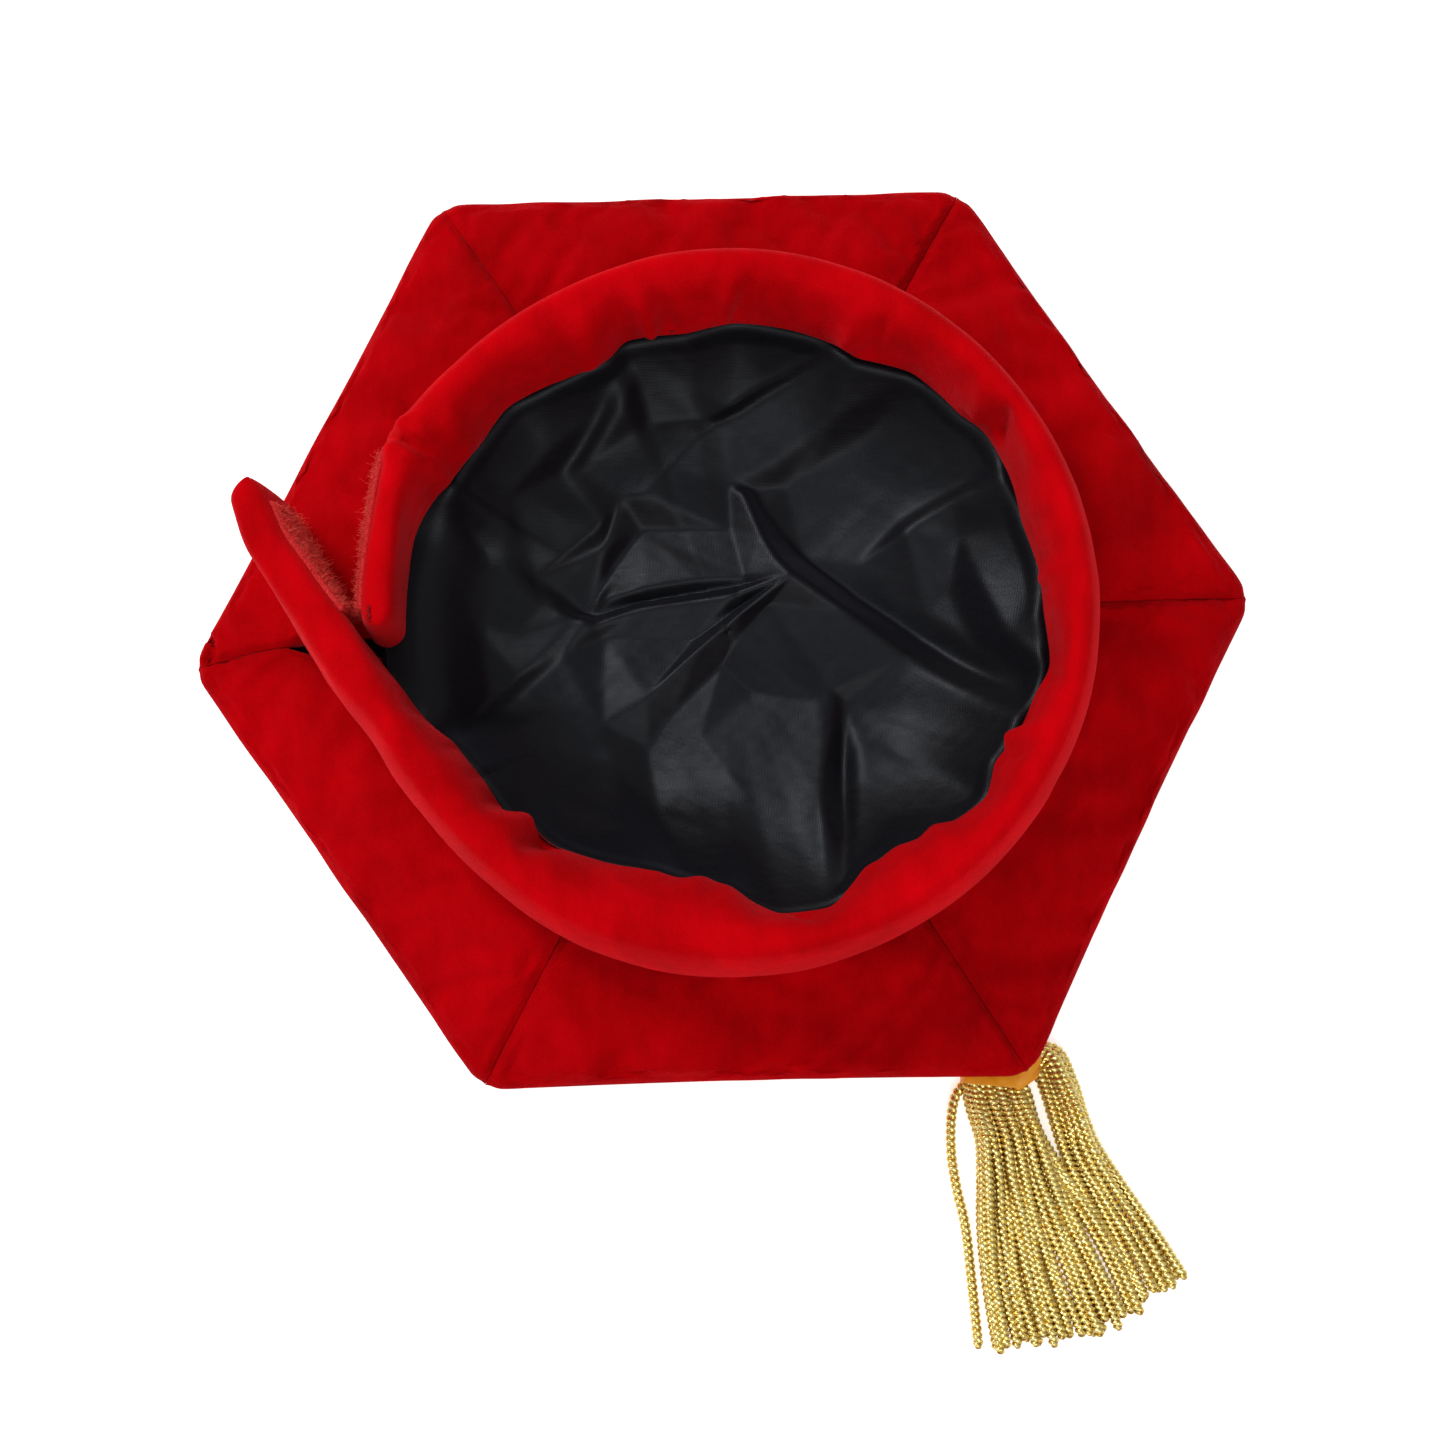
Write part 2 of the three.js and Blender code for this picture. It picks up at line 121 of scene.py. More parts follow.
def curve(points, step=None, count=None, closed=False):
    """A centripetal Catmull-Rom curve through the points, with even steps."""
    p = np.array(points, float)
    if closed:
        p = np.vstack([p[-1], p, p[:2]])
    else:
        p = np.vstack([2 * p[0] - p[1], p, 2 * p[-1] - p[-2]])
    pieces = []
    for i in range(len(p) - 3):
        p0, p1, p2, p3 = p[i:i + 4]
        t1 = math.sqrt(np.linalg.norm(p1 - p0))
        t2 = t1 + math.sqrt(np.linalg.norm(p2 - p1))
        t3 = t2 + math.sqrt(np.linalg.norm(p3 - p2))
        t = np.linspace(t1, t2, 24, endpoint=False)[:, None]
        a1 = p0 + (p1 - p0) * t / t1
        a2 = p1 + (p2 - p1) * (t - t1) / (t2 - t1)
        a3 = p2 + (p3 - p2) * (t - t2) / (t3 - t2)
        b1 = a1 + (a2 - a1) * t / t2
        b2 = a2 + (a3 - a2) * (t - t1) / (t3 - t1)
        pieces.append(b1 + (b2 - b1) * (t - t1) / (t2 - t1))
    fine = np.vstack([*pieces, p[-2][None]])
    run = distance_along(fine)
    if count is None:
        count = max(2, round(run[-1] / step) + 1)
    at = np.linspace(0, run[-1], count, endpoint=not closed)
    return np.stack([np.interp(at, run, fine[:, k]) for k in range(p.shape[1])], 1)


def tangents(line):
    return unit(np.gradient(line, axis=0))


def tube(line, reach, sides, upright=UP):
    """Rings round a line. reach is one radius, or one for each station and side."""
    along = tangents(line)
    side = unit(np.cross(along, upright))
    above = np.cross(side, along)
    turn = circle(sides)[:, None]
    reach = np.broadcast_to(reach, (len(line), sides))[..., None]
    return line[:, None] + reach * (np.cos(turn) * side[:, None] + np.sin(turn) * above[:, None])


# ---- meshes ---------------------------------------------------------------------------------------
def make(name, points, faces, material):
    mesh = bpy.data.meshes.new(name)
    mesh.from_pydata((np.asarray(points, float) * MM).tolist(), [], faces)
    work = bmesh.new()
    work.from_mesh(mesh)
    bmesh.ops.recalc_face_normals(work, faces=work.faces)
    work.to_mesh(mesh)
    work.free()
    mesh.polygons.foreach_set("use_smooth", [True] * len(mesh.polygons))
    mesh.materials.append(material)
    piece = bpy.data.objects.new(name, mesh)
    scene.collection.objects.link(piece)
    return piece


def grid_faces(rows, columns, wrap=False, first=0):
    faces = []
    for i in range(rows - 1):
        for j in range(columns if wrap else columns - 1):
            k = (j + 1) % columns
            faces.append((first + i * columns + j, first + i * columns + k,
                          first + (i + 1) * columns + k, first + (i + 1) * columns + j))
    return faces


def loft(name, rings, material, flat_ends=False):
    """A closed body through rings (stations x points x 3). Its ends are fans round a middle point."""
    rings = np.asarray(rings, float)
    if flat_ends:
        close = lerp(rings[[0, -1]], rings[[1, -2]], 0.04)
        rings = np.concatenate([rings[:1], close[:1], rings[1:-1], close[1:], rings[-1:]])
    rows, columns = rings.shape[:2]
    points = np.vstack([rings.reshape(-1, 3), rings[0].mean(0), rings[-1].mean(0)])
    faces = grid_faces(rows, columns, wrap=True)
    foot, head = rows * columns, rows * columns + 1
    for j in range(columns):
        k = (j + 1) % columns
        faces.append((foot, k, j))
        faces.append((head, (rows - 1) * columns + j, (rows - 1) * columns + k))
    return make(name, points, faces, material)


# ---- materials ------------------------------------------------------------------------------------
class Finish:
    """A Principled material with a few short ways to add nodes. Sizes are in millimetres."""

    def __init__(self, name, **settings):
        self.material = bpy.data.materials.new(name)
        self.material.use_nodes = True
        self.tree = self.material.node_tree
        self.shader = self.tree.nodes["Principled BSDF"]
        for key, value in settings.items():
            self.shader.inputs[key.replace("_", " ")].default_value = value
        self.place = self.add("ShaderNodeTexCoord").outputs["Object"]
        self.place = self.stretched(1 / MM, 1 / MM, 1 / MM)

    def add(self, kind, inputs=None, **settings):
        node = self.tree.nodes.new(kind)
        for key, value in settings.items():
            setattr(node, key, value)
        for key, value in (inputs or {}).items():
            if isinstance(value, bpy.types.NodeSocket):
                self.tree.links.new(value, node.inputs[key])
            else:
                node.inputs[key].default_value = value
        return node

    def stretched(self, x, y, z):
        inputs = {0: self.place, 1: (x, y, z)}
        return self.add("ShaderNodeVectorMath", inputs, operation="MULTIPLY").outputs[0]

    def noise(self, size, detail=2.0, roughness=0.5, place=None, distortion=0.0):
        inputs = {"Vector": place or self.place, "Scale": 1 / size, "Detail": detail,
                  "Roughness": roughness, "Distortion": distortion}
        return self.add("ShaderNodeTexNoise", inputs).outputs["Fac"]

    def bands(self, size, axis, distortion=0.0):
        inputs = {"Vector": self.place, "Scale": 0.314 / size, "Distortion": distortion, "Detail": 1.0}
        return self.add("ShaderNodeTexWave", inputs, bands_direction=axis).outputs["Fac"]

    def math(self, operation, a, b=0.5, c=0.0):
        return self.add("ShaderNodeMath", {0: a, 1: b, 2: c}, operation=operation).outputs[0]

    def spread(self, value, low, high, to_low=0.0, to_high=1.0):
        inputs = {"Value": value, "From Min": low, "From Max": high, "To Min": to_low, "To Max": to_high}
        return self.add("ShaderNodeMapRange", inputs).outputs[0]

    def mix(self, share, a, b):
        node = self.add("ShaderNodeMix", data_type="RGBA")
        for socket, value in ((node.inputs[0], share), (node.inputs[6], a), (node.inputs[7], b)):
            if isinstance(value, bpy.types.NodeSocket):
                self.tree.links.new(value, socket)
            else:
                socket.default_value = value if isinstance(value, float) else (*value, 1)
        return node.outputs[2]

    def specks(self, apart, size, share):
        """1 in a few small round specks, and 0 elsewhere."""
        cells = self.add("ShaderNodeTexVoronoi", {"Vector": self.place, "Scale": 1 / apart})
        near = self.math("LESS_THAN", cells.outputs["Distance"], size / apart / 2)
        chosen = self.math("LESS_THAN", cells.outputs["Color"], share)
        return self.math("MULTIPLY", near, chosen)

    def paint(self, colour):
        self.tree.links.new(colour, self.shader.inputs["Base Color"])

    def rough(self, value, low, high):
        self.tree.links.new(self.spread(value, 0.25, 0.75, low, high), self.shader.inputs["Roughness"])

    def bump(self, *layers):
        """layers are (height, depth in mm)."""
        normal = None
        for height, depth in layers:
            inputs = {"Height": height, "Distance": depth * MM, "Strength": 1.0}
            if normal is not None:
                inputs["Normal"] = normal
            normal = self.add("ShaderNodeBump", inputs).outputs[0]
        self.tree.links.new(normal, self.shader.inputs["Normal"])


def velvet_finish(name, dark, bright):
    finish = Finish(name, Specular_IOR_Level=0.02, Sheen_Weight=0.24, Sheen_Roughness=0.35,
                    Sheen_Tint=(1.0, 0.12, 0.14, 1))
    pile = finish.noise(0.45, 3, 0.7)
    nap = finish.noise(26, 2, 0.5, distortion=0.4)
    brushed = finish.noise(5, 3, 0.6, place=finish.stretched(1, 0.35, 1))
    fine = finish.math("MULTIPLY_ADD", brushed, 0.25, finish.math("MULTIPLY", pile, 0.25))
    tone = finish.math("MULTIPLY_ADD", nap, 0.5, fine)
    colour = finish.mix(finish.spread(tone, 0.35, 0.65), dark, bright)
    lint = finish.specks(6.5, 0.3, 0.12)
    finish.paint(finish.mix(lint, colour, (0.75, 0.2, 0.19)))
    finish.rough(nap, 0.85, 1.0)
    finish.bump((pile, 0.22), (brushed, 0.2), (nap, 0.4))
    return finish.material


def taffeta_finish():
    finish = Finish("black_taffeta", Specular_IOR_Level=0.2, Specular_Tint=(0.88, 0.93, 1.0, 1),
                    Sheen_Weight=0.05, Sheen_Roughness=0.5, Sheen_Tint=(0.75, 0.8, 1.0, 1), Anisotropic=0.3)
    warp, weft = finish.bands(0.42, "X", 0.6), finish.bands(0.34, "Y", 0.6)
    weave = finish.math("MULTIPLY", warp, weft)
    slub = finish.noise(3, 2, 0.6, place=finish.stretched(0.12, 2.5, 1))
    tone = finish.math("MULTIPLY_ADD", weave, 0.4, finish.math("MULTIPLY", slub, 0.6))
    cloth = finish.mix(tone, (0.0015, 0.0017, 0.0025), (0.0046, 0.0051, 0.0072))
    finish.paint(finish.mix(finish.specks(13, 0.35, 0.16), cloth, (0.16, 0.17, 0.19)))
    finish.rough(slub, 0.36, 0.46)
    finish.bump((weave, 0.03), (slub, 0.04), (finish.noise(9, 2, 0.5, distortion=0.8), 0.05))
    return finish.material


def satin_finish():
    finish = Finish("orange_satin", Specular_IOR_Level=0.4, Sheen_Weight=0.2, Sheen_Tint=(1.0, 0.7, 0.3, 1),
                    Anisotropic=0.5)
    ribs = finish.bands(0.35, "DIAGONAL", 0.3)
    shade = finish.noise(4, 2, 0.5)
    finish.paint(finish.mix(shade, (0.8, 0.23, 0.004), (1.0, 0.48, 0.014)))
    finish.rough(shade, 0.32, 0.5)
    finish.bump((ribs, 0.03), (shade, 0.3))
    return finish.material


def gold_finish():
    """Fine metallic thread wound round each ply; the piece's attributes give the turns, and the painted shade
    that darkens the grooves and the flanks.
    """
    finish = Finish("gold_bullion", Metallic=0.93, Specular_IOR_Level=0.5, Specular_Tint=(1.0, 0.93, 0.7, 1))
    wind, deep = (finish.add("ShaderNodeAttribute", attribute_name=name).outputs["Fac"]
                  for name in ("wind", "depth"))
    turns = finish.math("MULTIPLY_ADD", finish.math("SINE", finish.math("MULTIPLY", wind, 6.0)), 0.5, 0.5)
    tone = finish.noise(1.4, 2, 0.6)
    colour = finish.mix(finish.spread(tone, 0.3, 0.7), (0.9, 0.6, 0.1), (1.0, 0.93, 0.44))
    # Painted shade: where the depth attribute is high, in the grooves between the plies and on the cords'
    # flanks, the gold is painted dark brown.
    finish.paint(finish.mix(deep, colour, (0.27, 0.13, 0.01)))
    finish.rough(tone, 0.2, 0.34)
    finish.bump((turns, 0.03), (tone, 0.08))
    return finish.material


def pile_finish(name, dark, bright, grain):
    finish = Finish(name, Specular_IOR_Level=0.08, Sheen_Weight=0.18, Sheen_Roughness=0.5,
                    Sheen_Tint=(1.0, 0.14, 0.12, 1))
    loops = finish.noise(grain, 4, 0.8, distortion=1.0)
    finish.paint(finish.mix(finish.spread(loops, 0.38, 0.62), dark, bright))
    finish.rough(loops, 0.8, 1.0)
    finish.bump((loops, 0.5), (finish.noise(grain * 5, 2), 0.5))
    return finish.material


def backing_finish(name, dark, bright, size, depth):
    finish = Finish(name, Specular_IOR_Level=0.2)
    grain = finish.noise(size, 3, 0.7)
    finish.paint(finish.mix(grain, dark, bright))
    finish.rough(grain, 0.8, 1.0)
    weave = finish.math("MULTIPLY", finish.bands(size * 1.5, "X"), finish.bands(size * 1.5, "Y"))
    finish.bump((grain, depth), (weave, depth))
    return finish.material


VELVET = velvet_finish("red_velvet", (0.3, 0.0, 0.0012), (0.5, 0.0002, 0.003))
# The band is the same velvet painted lighter: painted light where the raised band catches more of the lamps.
BAND_VELVET_PAINTED_LIGHTER = velvet_finish("red_velvet_band_painted_lighter", (0.38, 0.0, 0.0015), (0.62, 0.0004, 0.004))
TAFFETA = taffeta_finish()
SATIN = satin_finish()
GOLD = gold_finish()
FUZZ = pile_finish("pile_fibres", (0.8, 0.008, 0.008), (1.0, 0.15, 0.12), 1.5)
LOOP = pile_finish("loop_pile", (0.5, 0.002, 0.005), (0.95, 0.06, 0.06), 0.55)
HOOK = pile_finish("hook_pile", (0.4, 0.001, 0.004), (0.9, 0.05, 0.05), 0.5)
THREAD = backing_finish("sewing_thread", (0.16, 0.0, 0.002), (0.34, 0.006, 0.009), 0.4, 0.15)
BOARD = backing_finish("buckram", (0.5, 0.47, 0.4), (0.75, 0.72, 0.63), 0.6, 0.2)


# ---- tassel ---------------------------------------------------------------------------------------
TASSEL_PIVOT = np.array([68.5, -118.6])
TASSEL_HEADING = math.radians(-76.4)
CORD_DIAMETER = 3.0
PLY_OFFSET = 0.33        # of the cord's radius
NECK_HIGH = 4            # strands that leave the neck above this lie on the others


def tassel_point(t, l, z):
    c, s = math.cos(TASSEL_HEADING), math.sin(TASSEL_HEADING)
    return np.array([TASSEL_PIVOT[0] + c * t - s * l, TASSEL_PIVOT[1] + s * t + c * l, z])


def twisted_cord(name, line, material, pitch, sides=14, turn=0.0, step=0.32):
    """Two plies twisted together along a line, closed at both ends."""
    radius = CORD_DIAMETER / 2
    line = curve(line, step=step)
    run = distance_along(line)
    theta = circle(sides)
    around = theta[None] - (2 * math.pi * run / pitch + turn)[:, None]
    ply = 1 - PLY_OFFSET
    reach = PLY_OFFSET * np.abs(np.cos(around)) + np.sqrt(ply ** 2 - (PLY_OFFSET * np.sin(around)) ** 2)
    tip = np.minimum(run[-1] - run, run)
    reach *= radius * np.sqrt(1 - np.clip(1 - tip / (1.1 * radius), 0, 0.96) ** 2)[:, None]
    piece = loft(name, tube(line, reach, sides), material)
    # depth is painted shade: high in the grooves between the plies, and on the flanks where neighbouring
    # strands would shade the cord.
    deep = 0.9 * (1 - ramp(reach / radius, 0.5, 0.9)) + 0.45 * np.abs(np.cos(theta))[None] ** 3
    wind = (run[:, None] * 2.2 + 0.9 * np.sin(2 * around)).ravel()
    for key, values in (("wind", wind), ("depth", np.minimum(deep, 1).ravel())):
        data = np.r_[values, 0, 0].astype(np.float32)
        piece.data.attributes.new(key, "FLOAT", "POINT").data.foreach_set("value", data)
    return piece, line


# Guides of the skirt, seen from above, from the neck to the tips: (distance from the pivot, sideways place).
# The points from 13 on are the frame's; those before it lie in the ribbon or beside it.
LONE_STRAND = [
    (5, -11), (8, -15.6), (13, -18.6), (22.8, -22), (32, -23.4), (42.1, -24.4), (57.2, -27.3), (75.1, -30.8),
]
MIDDLE_LEFT = [
    (4.2, -11.4), (7.6, -12.6), (13, -13.2), (22, -13.6), (32, -16), (43, -19.6), (58, -23.4), (78.6, -26),
]
MIDDLE_RIGHT = [(8, 1.2), (10.5, 1.5), (13, 1.8), (24, 2.4), (36, 2.6), (48, 4.2), (62, 6.6), (81, 9.4)]
SHEAF_LEFT = [(3.6, 4.6), (7.8, 7), (13, 7.6), (24, 7.7), (34, 7.8), (46, 9.8), (60, 12), (77.5, 13.6)]
SHEAF_RIGHT = [(0.4, 6.8), (4.6, 14.4), (13, 16), (23, 16.1), (32, 15.9), (46, 19.8), (60, 24), (73.4, 27.7)]
CROSSING_LEFT = [(8.4, 0), (10.6, 0.2), (13, 0.4), (24, 0.4), (36, 2.8), (48, 6.8), (62, 9.8), (80, 11.4)]
CROSSING_RIGHT = [(8.8, 2), (10.8, 2.4), (13, 2.6), (24, 2), (36, 4.8), (48, 9.8), (62, 13.2), (78, 16.2)]
LONE = (LONE_STRAND, LONE_STRAND)
CROSSING = (CROSSING_LEFT, CROSSING_RIGHT)
MIDDLE = (MIDDLE_LEFT, MIDDLE_RIGHT)
SHEAF = (SHEAF_LEFT, SHEAF_RIGHT)
FRAME_STRANDS = [
    (1.6, ((LONE, [0]), (MIDDLE, [0, 0.25, 0.5, 0.75, 1]), (SHEAF, [0, 0.5, 1]))),
    (4.9, ((MIDDLE, [0.125, 0.375, 0.625, 0.875]), (SHEAF, [0.25, 0.75]))),
    (8.2, ((MIDDLE, [0.2, 0.4, 0.6, 0.8]), (SHEAF, [0.5]))),
]
# More strands of the same skirt, which the frame leaves out: they lie in between.
MORE_STRANDS = [
    (3.2, ((MIDDLE, [0.06, 0.31, 0.56, 0.81]), (SHEAF, [0.12, 0.9]))),
    (6.4, ((MIDDLE, [0.02, 0.28, 0.5, 0.72, 0.98]), (SHEAF, [0.02, 0.4]), (CROSSING, [0, 0.5, 1]))),
    (9.4, ((MIDDLE, [0.12, 0.9]), (SHEAF, [0.7]))),
]


def even_place(guides, place, height):
    """Where a strand of the upper layers ends up at the tips, where they lie side by side."""
    if height < NECK_HIGH or guides is CROSSING:
        return place
    upper = sorted(p for z, parts in FRAME_STRANDS + MORE_STRANDS if z > NECK_HIGH
                   for g, places in parts if g is guides for p in places)
    return upper.index(place) / (len(upper) - 1)


def strand_line(number, guides, place, height):
    """The route of one strand: squeezed at the neck, then spread, with small waves of its own."""
    rng = np.random.default_rng(400 + number)
    left, right = (np.array(guide, float) for guide in guides)
    low = height < NECK_HIGH
    free = ramp(np.linspace(0, 1, len(left)), 0.2, 0.6)
    plan = lerp(left, right, lerp(place, even_place(guides, place, height), free)[:, None])
    plan[-1, 0] += rng.uniform(-2.6, 1.2)
    plan[:, 1] += (0.35 if low else 0.5) * free * rng.uniform(-1, 1, len(left))
    squeezed = 1.6 + 0.42 * (height - 1.6)
    lying = height if low else 4.4 + 1.1 * (number % 2)
    middle = lerp(height, lying, ramp(plan[:, 0], 24, 60))
    heights = lerp(squeezed, middle, ramp(plan[:, 0], 8, 26)) + free * rng.uniform(-0.1, 0.3, len(left))
    heights = np.minimum(heights, np.interp(plan[:, 0], (0, 4, 12), (3.2, 5.0, 12)))
    return np.array([tassel_point(t, l, max(z, 1.55)) for (t, l), z in zip(plan, heights)])


def add_strands():
    layers = [(*layer, True) for layer in FRAME_STRANDS] + [(*layer, False) for layer in MORE_STRANDS]
    places = [(guides, place, height, in_frame) for height, parts, in_frame in layers
              for guides, places in parts for place in places]
    for number, (guides, place, height, in_frame) in enumerate(places, 1):
        line = strand_line(number, guides, place, height)
        pitch = 3.4 + 0.3 * math.sin(number * 1.3)
        name = f"bullion_strand_{number:02d}"
        piece, line = twisted_cord(name, line, GOLD, pitch, turn=number * 1.1)
        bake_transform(piece)
        if in_frame:
            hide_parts(f"tassel_strand_{number:02d}")


add_strands()


def add_hanger():
    """Twisted silk cord along the crown's furrow, from button to knot, where the frame's cord lies."""
    heading = unit(np.array([74.5, -126.8]))
    route = [(5.2, 6.2), (10, 6.2), (15, 5), (20, 2.6), (26, 1.6), (40, 1.6), (70, 1.6), (100, 1.6),
             (120, 1.6), (136, 1.7)]
    points = [[*(heading * d), z] for d, z in route]
    cord, _ = twisted_cord("hanger_cord", points, SATIN, pitch=5.0, sides=12, step=0.7)
    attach(cord, "tam")
    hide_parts("tassel_hanger_cord")


def pill(left, right, low, high, count):
    """A flattened round-ended loop of (sideways, height) points, even along its length."""
    r = (high - low) / 2
    turn = np.linspace(-math.pi / 2, math.pi / 2, 12)
    right_end = np.c_[right - r + r * np.cos(turn), low + r + r * np.sin(turn)]
    left_end = np.c_[left + r - r * np.cos(turn), low + r - r * np.sin(turn)]
    loop = np.vstack([right_end, left_end, right_end[:1]])
    run = distance_along(loop)
    at = np.linspace(0, run[-1], count, endpoint=False)
    return np.stack([np.interp(at, run, loop[:, k]) for k in (0, 1)], 1)


# The ribbon's front edge: [sideways place, distance from the pivot].
RIBBON_FRONT = np.array([(-14.5, 5.2), (-9, 7.6), (-1, 10.9), (3, 11.6), (6.5, 10.4), (9, 7.0)])


def ribbon_front(sideways):
    return np.interp(sideways, *RIBBON_FRONT.T)


def add_header():
    """Satin ribbon folded round the neck of the skirt: an outer face, and an inner one back to the start."""
    back, right, count = 2.4, 8.6, 120
    l, z = pill(-13.9, right, 0.15, 6.6, count).T
    on_top = ramp(z, 3.0, 6.0)
    rings = []
    for share in np.linspace(0, 1, 26):
        crease = bell(l - 3.4 - 3 * share, 1.1) - 0.6 * bell(l + 6 - 3 * share, 1.6)
        gathers = 0.22 * np.sin(l * 1.9 + share * 1.2) * (1 - 0.5 * share)
        height = z + on_top * (0.55 * crease + gathers + 0.5 * ramp(share, 0.2, 0.8))
        pinch = 1 - 0.05 * math.sin(math.pi * share) + 0.02 * share
        reach = lerp(back, ribbon_front(l), share)
        rings.append([tassel_point(*p) for p in zip(reach, (l + 2.6) * pinch - 2.6, height)])
    l, z = pill(-12.9, right - 1, 1.0, 5.6, count).T
    for share in (0.97, 0.6, 0.1):
        rings.append([tassel_point(*p) for p in zip(lerp(back, ribbon_front(l), share), l, z)])
    rings.append(rings[0])
    faces = grid_faces(len(rings), count, wrap=True)
    first_row = (len(rings) - 1) * count
    faces = [tuple(k % first_row for k in face) for face in faces]
    header = make("ribbon_header", np.array(rings[:-1]).reshape(-1, 3), faces, SATIN)
    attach(header, "tassel_head")
    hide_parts("tassel_ribbon_header")


def add_lap():
    """The ribbon's end, lapped over the top in a point."""
    route = ((2.6, 8.6, 3.6), (3.8, 7.8, 6.9), (5.6, 5.6, 7.5), (7.8, 3.4, 7.6), (9.8, 1.6, 7.4),
             (12.2, 0.4, 6.4))
    line = curve([tassel_point(*p) for p in route], count=26)
    width = 2.9 * np.sqrt(np.clip(1 - np.linspace(0, 1, len(line)) ** 5, 0.01, 1))
    rings = [[p + c * w * math.cos(v) + np.array([0, 0, 0.45 * math.sin(v) - 0.5 * math.cos(v) ** 2])
              for v in circle(16)] for p, c, w in zip(line, np.cross(tangents(line), UP), width)]
    lap = loft("ribbon_lap", rings, SATIN)
    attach(lap, "tassel_head")


def add_neck():
    """The bound heads of the strands, inside the ribbon."""
    neck = pill(-11.8, 6.8, 1.3, 4.4, 72)
    ripple = np.arange(len(neck)) * 1.05
    rings = []
    for share in np.linspace(0, 1, 14):
        reach = lerp(3.2, ribbon_front(neck[:, 0]) - 1.6, share)
        sideways = neck[:, 0] * (1 + 0.012 * np.sin(ripple + share * 8))
        height = neck[:, 1] + 0.18 * np.sin(ripple + share * 11)
        rings.append([tassel_point(*p) for p in zip(reach, sideways, height)])
    bundle = loft("bullion_neck", rings, GOLD)
    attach(bundle, "tassel_head")
    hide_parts("tassel_neck")


def add_knot():
    """The hanger cord's knot: three crossed turns round its end."""
    a = np.linspace(0, 2 * math.pi, 40)
    line = np.stack([1.25 * np.sin(2 * a) + 0.2 * np.sin(a), 1.25 * np.cos(a), 0.75 * np.sin(3 * a)], 1)
    line = line * 0.75 + np.array([*TASSEL_PIVOT, 2.0])
    knot = loft("hanger_knot", tube(line, 0.8, 10, upright=(0.2, 0.1, 1)), SATIN)
    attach(knot, "tassel_head")
    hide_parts("tassel_knot")


add_hanger()
add_header()
add_lap()
add_neck()
add_knot()


# ---- the crown's plan -----------------------------------------------------------------------------
# The padded velvet stands a little proud of the frame's outline, most at the closure's corner.
CORNERS = np.array([
    [-148.2, -1.6], [-73.8, 128.2], [73.8, 123.4], [146.2, 0.9], [74.8, -127.2], [-73.6, -122.0],
])
EDGE_BOW = [0.5, 0.2, 0.6, 1.0, 0.9, 0.3]
FOOT_RADIUS = 88.0
CROWN_HOLE = 4.5
SLIT_WIDTH = 6.5
SEAM_GAP = 0.16


def edge_point(side, s):
    a, b = CORNERS[side % 6], CORNERS[(side + 1) % 6]
    inward = np.array([b[1] - a[1], a[0] - b[0]]) / np.linalg.norm(b - a)
    s = np.asarray(s, float)[..., None]
    return a + (b - a) * s + inward * EDGE_BOW[side % 6] * np.sin(math.pi * s)


def circle_point(side, s, radius):
    first, second = (math.atan2(*CORNERS[k % 6][::-1]) % (2 * math.pi) for k in (side, side + 1))
    if second > first:
        second -= 2 * math.pi
    angle = lerp(first, second, np.asarray(s, float))
    return polar(radius, angle)


def panel_place(side, share, s, radius, inset):
    """Plan points of a panel, and how far each is from the nearer seam. inset(share, end) is kept clear."""
    def place(across):
        return lerp(circle_point(side, across, radius), edge_point(side, across), share)
    width = np.linalg.norm(np.diff(place(np.array([0.0, 1.0])), axis=0))
    first, last = inset(share, 0) / width, 1 - inset(share, 1) / width
    s = lerp(first, last, s)
    return place(s), np.minimum(s - first, last - s) * width


def lateral(count):
    """Stations from seam to seam, closer together at the seams."""
    t = np.linspace(0, 1, count)
    return lerp(t, ramp(t), 0.75)


def rounded_corner(plan, distance, share):
    """Draws the plan in at a crown corner, so that the corner is soft."""
    pull = 1.7 * bell(distance, 3.2) * ramp(share, 0.82, 1.0)
    return plan * (1 - pull / np.linalg.norm(plan, axis=1))[:, None]


def slit_inset(side):
    def inset(share, end):
        at_closure = (side + end) % 6 == 0
        return (SEAM_GAP + (SLIT_WIDTH * (1 - float(ramp(share, 0.42, 0.57))) if at_closure else 0)) / 2
    return inset


CLOSURE_SIDES = (0, 5)
# Height of the underside from the band out to the crown's edge: [share, height].
UNDER_FACE = np.array([[-0.12, 26.6], [0, 27.3], [0.25, 25.6], [0.5, 23.4], [0.75, 20.8], [0.9, 18.7],
                       [0.96, 17.2], [0.985, 16.0], [1, 14.75]])
# Stitched-in folds of the underside by the closure's corner: points, depth, width.
PUCKERS = [
    ([(-147, 8.5), (-143.6, 7.4), (-141.9, 4.6), (-142.2, 1.8), (-143.4, 0.4)], 2.4, 1.1),
    ([(-133, 12), (-126, 8.4), (-120.5, 6.2)], 0.7, 1.6),
    ([(-131, -9), (-124, -3), (-119, 0.2)], 0.6, 1.8),
]


def seam_bow(side, plan, share):
    """The closure's seam isn't straight: it bends as it lies."""
    if side in CLOSURE_SIDES:
        plan[:, 1] += 3.2 * math.sin(math.pi * min(max(share, 0.0), 1.0)) * bell(plan[:, 1], 26)
    return plan


def pucker_depth(plan):
    depth = np.zeros(len(plan))
    for points, deep, width in PUCKERS:
        line = curve(points, step=0.8)
        near = np.linalg.norm(plan[:, None] - line[None], axis=2).min(1)
        depth += deep * (bell(near, width) - 0.4 * bell(near - 2 * width, width))
    return depth


